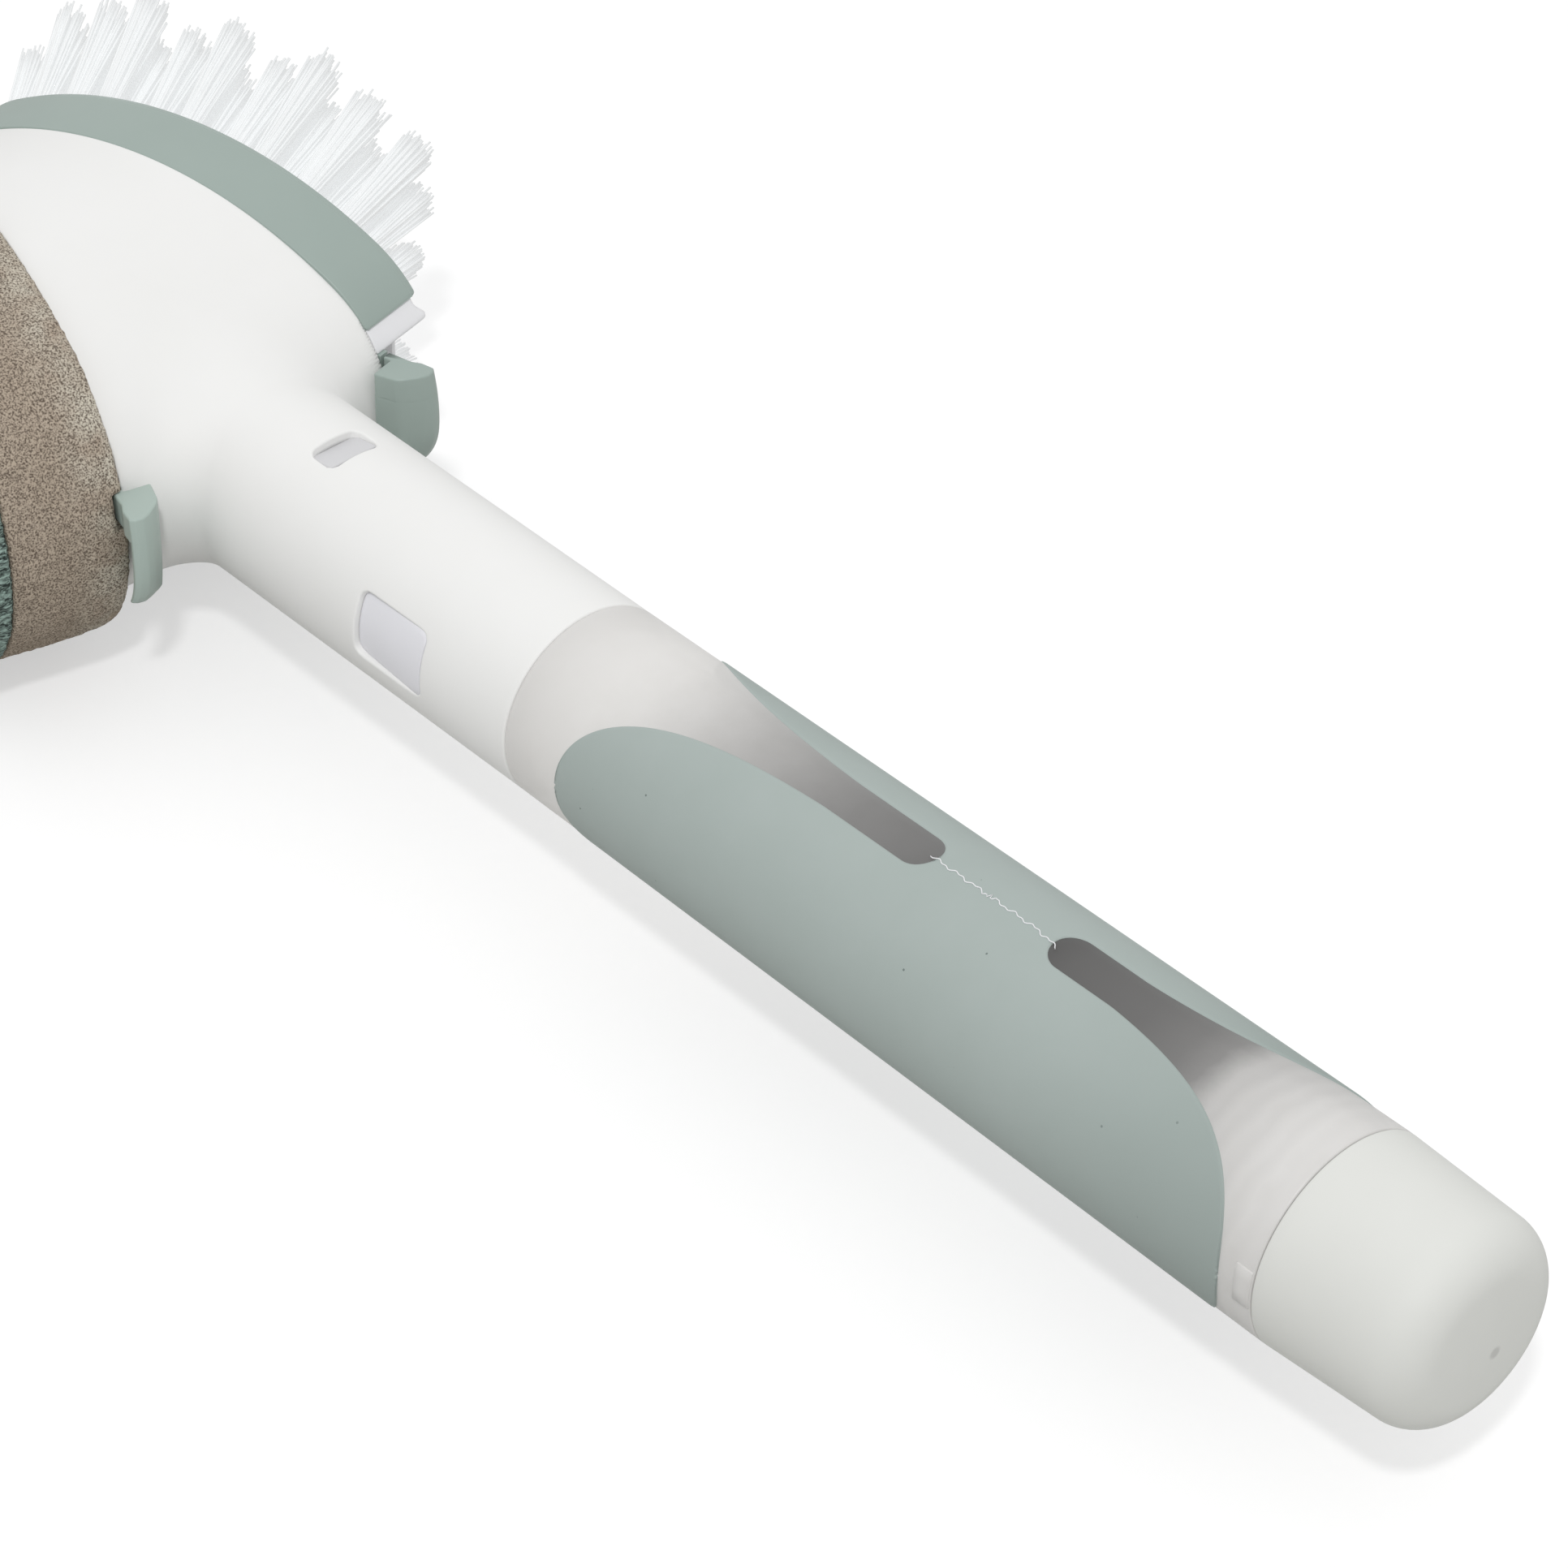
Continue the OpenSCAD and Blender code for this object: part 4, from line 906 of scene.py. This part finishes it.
def makeTufts():
    # every thread runs from a small root circle to a wider tip circle, bends a little and ends at its own height
    placeU, placeV = tuftPlaces()
    shape = (len(placeU), tuft["threads"])
    leanU = -tuft["tipLean"] * (tuft["front"] - placeU) / (tuft["front"] - tuft["back"])
    leanV = tuft["sideLean"] * placeV / tuft["halfWidth"] * (1 + 3 * np.clip((-placeU - 30) / 7, 0, 1))
    norm = np.sqrt(leanU ** 2 + leanV ** 2 + 1)
    # the row next to the tab is trimmed shorter from its middle on
    trim = np.where(placeU > 20, np.interp(placeV, [-6.1, 0.0, 6.1], [0.76, 0.88, 1.0]), 1.0)
    spread = np.sqrt(rng.uniform(0, 1, shape))
    turn = rng.uniform(0, 2 * np.pi, shape)
    unevenU, unevenV, unevenLength = (rng.normal(0, tuft["uneven"], shape) for _ in range(3))
    length = tuft["length"] + unevenLength - 0.5 * spread ** 2
    s = np.linspace(0, 1, tuft["points"])
    along = length[..., None] * trim[:, None, None] * s

    def line(place, out, uneven, lean):
        # from the root on, out to the tip circle, and on along the tuft's lean
        root, tip = out * (tuft["rootR"] - 0.2), out * tuft["tipR"] + uneven
        bent = root[..., None] + (tip - root)[..., None] * s ** 1.15
        return place[:, None, None] + bent + (lean / norm)[:, None, None] * along

    u, v = line(placeU, spread * np.cos(turn), unevenU, leanU), line(placeV, spread * np.sin(turn), unevenV, leanV)
    path = onFace(1, u, v, tuft["bed"] - 0.3 + along / norm[:, None, None]).reshape(-1, tuft["points"], 3)
    points, sides = tuft["points"], tuft["sides"]
    radii = tuft["threadR"] * np.array([1, 1, 1, 1, 0.85])
    rings = threadRings(path, radii, np.arange(sides) / sides * 2 * np.pi, (0.3, 0.5, 0.81))
    i, j = np.meshgrid(np.arange(points - 1) * sides, np.arange(sides), indexing="ij")
    after = (j + 1) % sides
    quads = np.stack([i + j, i + after, i + sides + after, i + sides + j], -1).reshape(-1, 4)
    ends = np.stack([np.arange(sides)[::-1], np.arange(sides) + (points - 1) * sides])
    first = np.arange(len(path))[:, None, None] * points * sides
    mesh = bpy.data.meshes.new("bristle_threads")
    faces = (np.concatenate([quads, ends]) + first).reshape(-1, 4)
    mesh.from_pydata((rings.reshape(-1, 3) * mm).tolist(), [], faces.tolist())
    piece = newPiece("bristle_threads", mesh, nylon)
    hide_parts("bristle_tufts")
    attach(piece, "brush_head")


makeTufts()
print("brush head made")

foam = dict(low=0.65, high=17.65, scourHigh=24.65, size=(44.6, 27.6, 25.0), arch=(24.0, 2.6, 7.7, 2.35), swell=0.1,
            cellRelief=0.13, fibreRelief=0.24, lump=0.8,
            foot=((16, 0), (8, 0), (3, 0), (1.6, 0), (1.0, 0.05), (0.7, 0.3), (0.5, 0.8), (0.3, 1.6), (0.14, 2.5),
                  (0.04, 3.6)))


def roughen(grid, amount, seed):
    # moves the points of a grid in or out a little along its own normals; the rings at both ends stay
    du, dv = np.gradient(grid, axis=0), np.gradient(grid, axis=1)
    dv[:, 0] = dv[:, -1] = (grid[:, 1] - grid[:, -2]) / 2
    normal = np.cross(du, dv)
    steep = np.linalg.norm(normal, axis=2, keepdims=True)
    normal = np.where(steep > 1e-9, normal / np.maximum(steep, 1e-9), 0)
    lump = foam["lump"]
    shift = amount * (valueNoise(grid, lump, seed) + 0.5 * valueNoise(grid, lump * 0.45, seed + 5))
    shift[[0, -1]] = 0
    return grid + normal * shift[..., None]


def makeSponge():
    # two pads of (inset, height) levels on the oval, the foam swelling a little in its middle
    low, high, middle = foam["low"], foam["high"], foam["size"][1]
    levels = [(middle, low)] + [(inset, low + rise) for inset, rise in foam["foot"]]
    levels += [(-foam["swell"] * math.sin(math.pi * k), low + 3.7 + (high - low - 4.2) * k)
               for k in np.linspace(0.02, 0.98, 42)]
    levels += [(0.1, high - 0.2), (0.4, high - 0.03), (4, high - 0.02), (14, high - 0.02), (middle, high - 0.02)]
    shape = puck(-1, levels, step=0.36, size=foam["size"], arch=foam["arch"])
    pad = makePiece("foam_pad", [roughen(shape, foam["cellRelief"], 3)], foamRubber)
    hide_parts("sponge_foam")
    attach(pad, "sponge_head")
    low, high = foam["high"], foam["scourHigh"]
    levels = [(middle, low), (14, low), (4, low), (0.6, low + 0.02), (0.2, low + 0.3)]
    levels += [(-foam["swell"], low + 0.5 + (high - low - 1.0) * k) for k in np.linspace(0, 1, 18)]
    levels += [(0.2, high - 0.2), (0.8, high)] + [(inset, high) for inset in np.linspace(1.6, middle, 44)]
    shape = puck(-1, levels, step=0.45, size=foam["size"])
    fleecePad = makePiece("scouring_fleece", [roughen(shape, foam["fibreRelief"], 8)], fleece)
    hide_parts("scour_pad")
    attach(fleecePad, "sponge_head")


makeSponge()

# sections in (u, n): the outer line that both parts of a tab share, and the inner line of each, with corner radii
tab = dict(half=7.4, armFrom=3.4, overlap=0.5, soft=0.26, backFrom=43.5, backOver=5.9, upperBack=0.8, lowerBack=2.2,
           outer=[(42.14, -3.6), (45.8, -3.1), (47.1, -2.3), (48.6, -0.8), (49.35, 0.4), (49.3, 1.55), (48.8, 2.25)],
           outerR=[0.3, 2.2, 2.5, 2.5, 1.0, 0.6, 0.35],
           arm=[(46.4, 2.25), (44.8, 1.75), (40.85, 1.75), (40.85, 0.35), (42.14, 0.35)],
           armR=[1.5, 1.5, 0.2, 0.2, 0.3],
           trough=[(48.15, 2.25), (47.75, 1.45), (47.6, 0.4), (47.0, -1.0), (45.4, -2.0), (44.0, -2.4), (42.14, -2.5)],
           troughR=[0.3, 1.0, 1.0, 1.2, 1.0, 0.5, 0.2])


def acrossTab(side, outline, radii, low, high, softLow, softHigh, out):
    # a closed section carried across the tab, with soft ends: the section shrinks along its own normals as it turns
    # the corner, and the free edge falls back towards both sides as the tab's rounded plan does
    middle = (np.array(outline[-1]) + np.array(outline[0])) / 2
    line = roundedPath([middle] + outline + [middle], radii, 6)[:-1]
    along = np.roll(line, -1, 0) - np.roll(line, 1, 0)
    along /= np.linalg.norm(along, axis=1, keepdims=True)
    outward = np.stack([along[:, 1], -along[:, 0]], -1)
    turn = np.linspace(0, np.pi / 2, 6)
    v = np.concatenate([low + softLow * (1 - np.sin(turn[::-1])), np.linspace(low + softLow, high - softHigh, 16)[1:-1],
                        high - softHigh * (1 - np.sin(turn))])
    pull = np.concatenate([softLow * (1 - np.cos(turn[::-1])), np.zeros(14), softHigh * (1 - np.cos(turn))])
    points = line - outward * pull[:, None, None]
    share = ease(np.clip((points[..., 0] - tab["backFrom"]) / tab["backOver"], 0, 1))
    upper, lower = np.maximum(v / tab["half"], 0), np.maximum(-v / tab["half"], 0)
    back = tab["upperBack"] * upper ** 2 + tab["lowerBack"] * lower ** 2.5 - out
    return ring(onFace(side, points[..., 0] - back[:, None] * share, v[:, None], points[..., 1]))


def makeTab(side, name, body, node, material, out=0.0):
    # a solid arm at the upper end and a trough with a lip below it, both with the same outer line
    for label, inner, radii, low, high, softHigh in (
            ("", tab["arm"], tab["armR"], tab["armFrom"], tab["half"], tab["soft"]),
            ("_lip", tab["trough"], tab["troughR"], -tab["half"], tab["armFrom"] + tab["overlap"], 0.05)):
        grid = acrossTab(side, tab["outer"] + inner, tab["outerR"] + radii, low, high, tab["soft"], softHigh, out)
        piece = makePiece(name + label, [grid], material, fill=True)
        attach(piece, body)
    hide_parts(node)


makeTab(1, "brush_release_tab", "brush_release", "brush_tab", tabPlastic)
# painted light: the sponge tab takes the paler copy of the tab plastic
makeTab(-1, "sponge_release_tab", "sponge_release", "sponge_tab", litTabPlastic, out=0.4)
print("sponge head and tabs made")

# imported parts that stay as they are, in these materials
kept = ((whitePlastic, ("brush_deck", "sponge_deck", "manifold", "brush_valve_ring", "sponge_valve_ring")),
        (silicone, ("brush_valve", "sponge_valve", "neck_seal", "cap_seal")),
        (sagePlastic, ("brush_plate", "sponge_plate")))
for material, names in kept:
    for name in names:
        paint(nodes[name], material)

# The world is a soft white tent, brighter along axis than at the horizon, and the key lamp throws the shadow.
light = dict(horizon=0.56, rise=0.36, axis=(-0.35, 0.35, 0.87), keyWatts=8.6, keySize=0.11, keyFrom=(0.50, -0.50, 1.0),
             keyDistance=1.6)
table = dict(height=-28.3, half=3000.0, seen=0.52, glow=0.52, bounce="#d2d2d0")


def makeTable():
    # white table: the camera sees it burnt out to white with the object's shadow on it, other rays see plain white
    half, z = table["half"] * mm, table["height"] * mm
    mesh = bpy.data.meshes.new("floor")
    mesh.from_pydata([(-half, -half, z), (half, -half, z), (half, half, z), (-half, half, z)], [], [(0, 1, 2, 3)])
    floor = bpy.data.objects.new("floor", mesh)
    scene.collection.objects.link(floor)
    material, tree, _ = newMaterial("white_table")
    seen = addNode(tree, "LightPath").outputs["Is Camera Ray"]
    colour = addNode(tree, "Mix", {"A": linear(table["bounce"]), "B": [table["seen"]] * 3 + [1.0]},
                     {"Factor": seen}, data_type="RGBA")
    glow = addNode(tree, "Math", {1: table["glow"]}, {0: seen}, operation="MULTIPLY")
    finishShader(tree, {"Roughness": 1.0, "Specular IOR Level": 0.0, "Emission Color": (1, 1, 1, 1)},
                 Base_Color=colour, Emission_Strength=glow)
    paint(floor, material)


def makeWorld():
    world = bpy.data.worlds.new("studio")
    scene.world = world
    world.use_nodes = True
    tree = world.node_tree
    background = tree.nodes["Background"]
    background.inputs["Color"].default_value = (1, 1, 1, 1)
    seen = addNode(tree, "LightPath").outputs["Is Camera Ray"]
    heading = addNode(tree, "TexCoord").outputs["Generated"]
    dot = addNode(tree, "VectorMath", {1: light["axis"]}, {0: heading}, operation="DOT_PRODUCT")
    glow = addNode(tree, "Math", {1: light["rise"], 2: light["horizon"]}, {0: dot}, operation="MULTIPLY_ADD")
    level = addNode(tree, "Mix", {"B": 1.0}, {"Factor": seen, "A": glow}, data_type="FLOAT")
    tree.links.new(outputOf(level), background.inputs["Strength"])


def makeKeyLamp():
    # a small square lamp, aimed at the object
    lamp = bpy.data.lights.new("key", "AREA")
    lamp.shape = "SQUARE"
    lamp.size = light["keySize"]
    lamp.energy = light["keyWatts"]
    holder = bpy.data.objects.new("key", lamp)
    scene.collection.objects.link(holder)
    place = Vector(light["keyFrom"]).normalized() * light["keyDistance"]
    holder.location = place
    holder.rotation_euler = (-place).to_track_quat("-Z", "Y").to_euler()


makeTable()
makeWorld()
makeKeyLamp()
print("stage made")
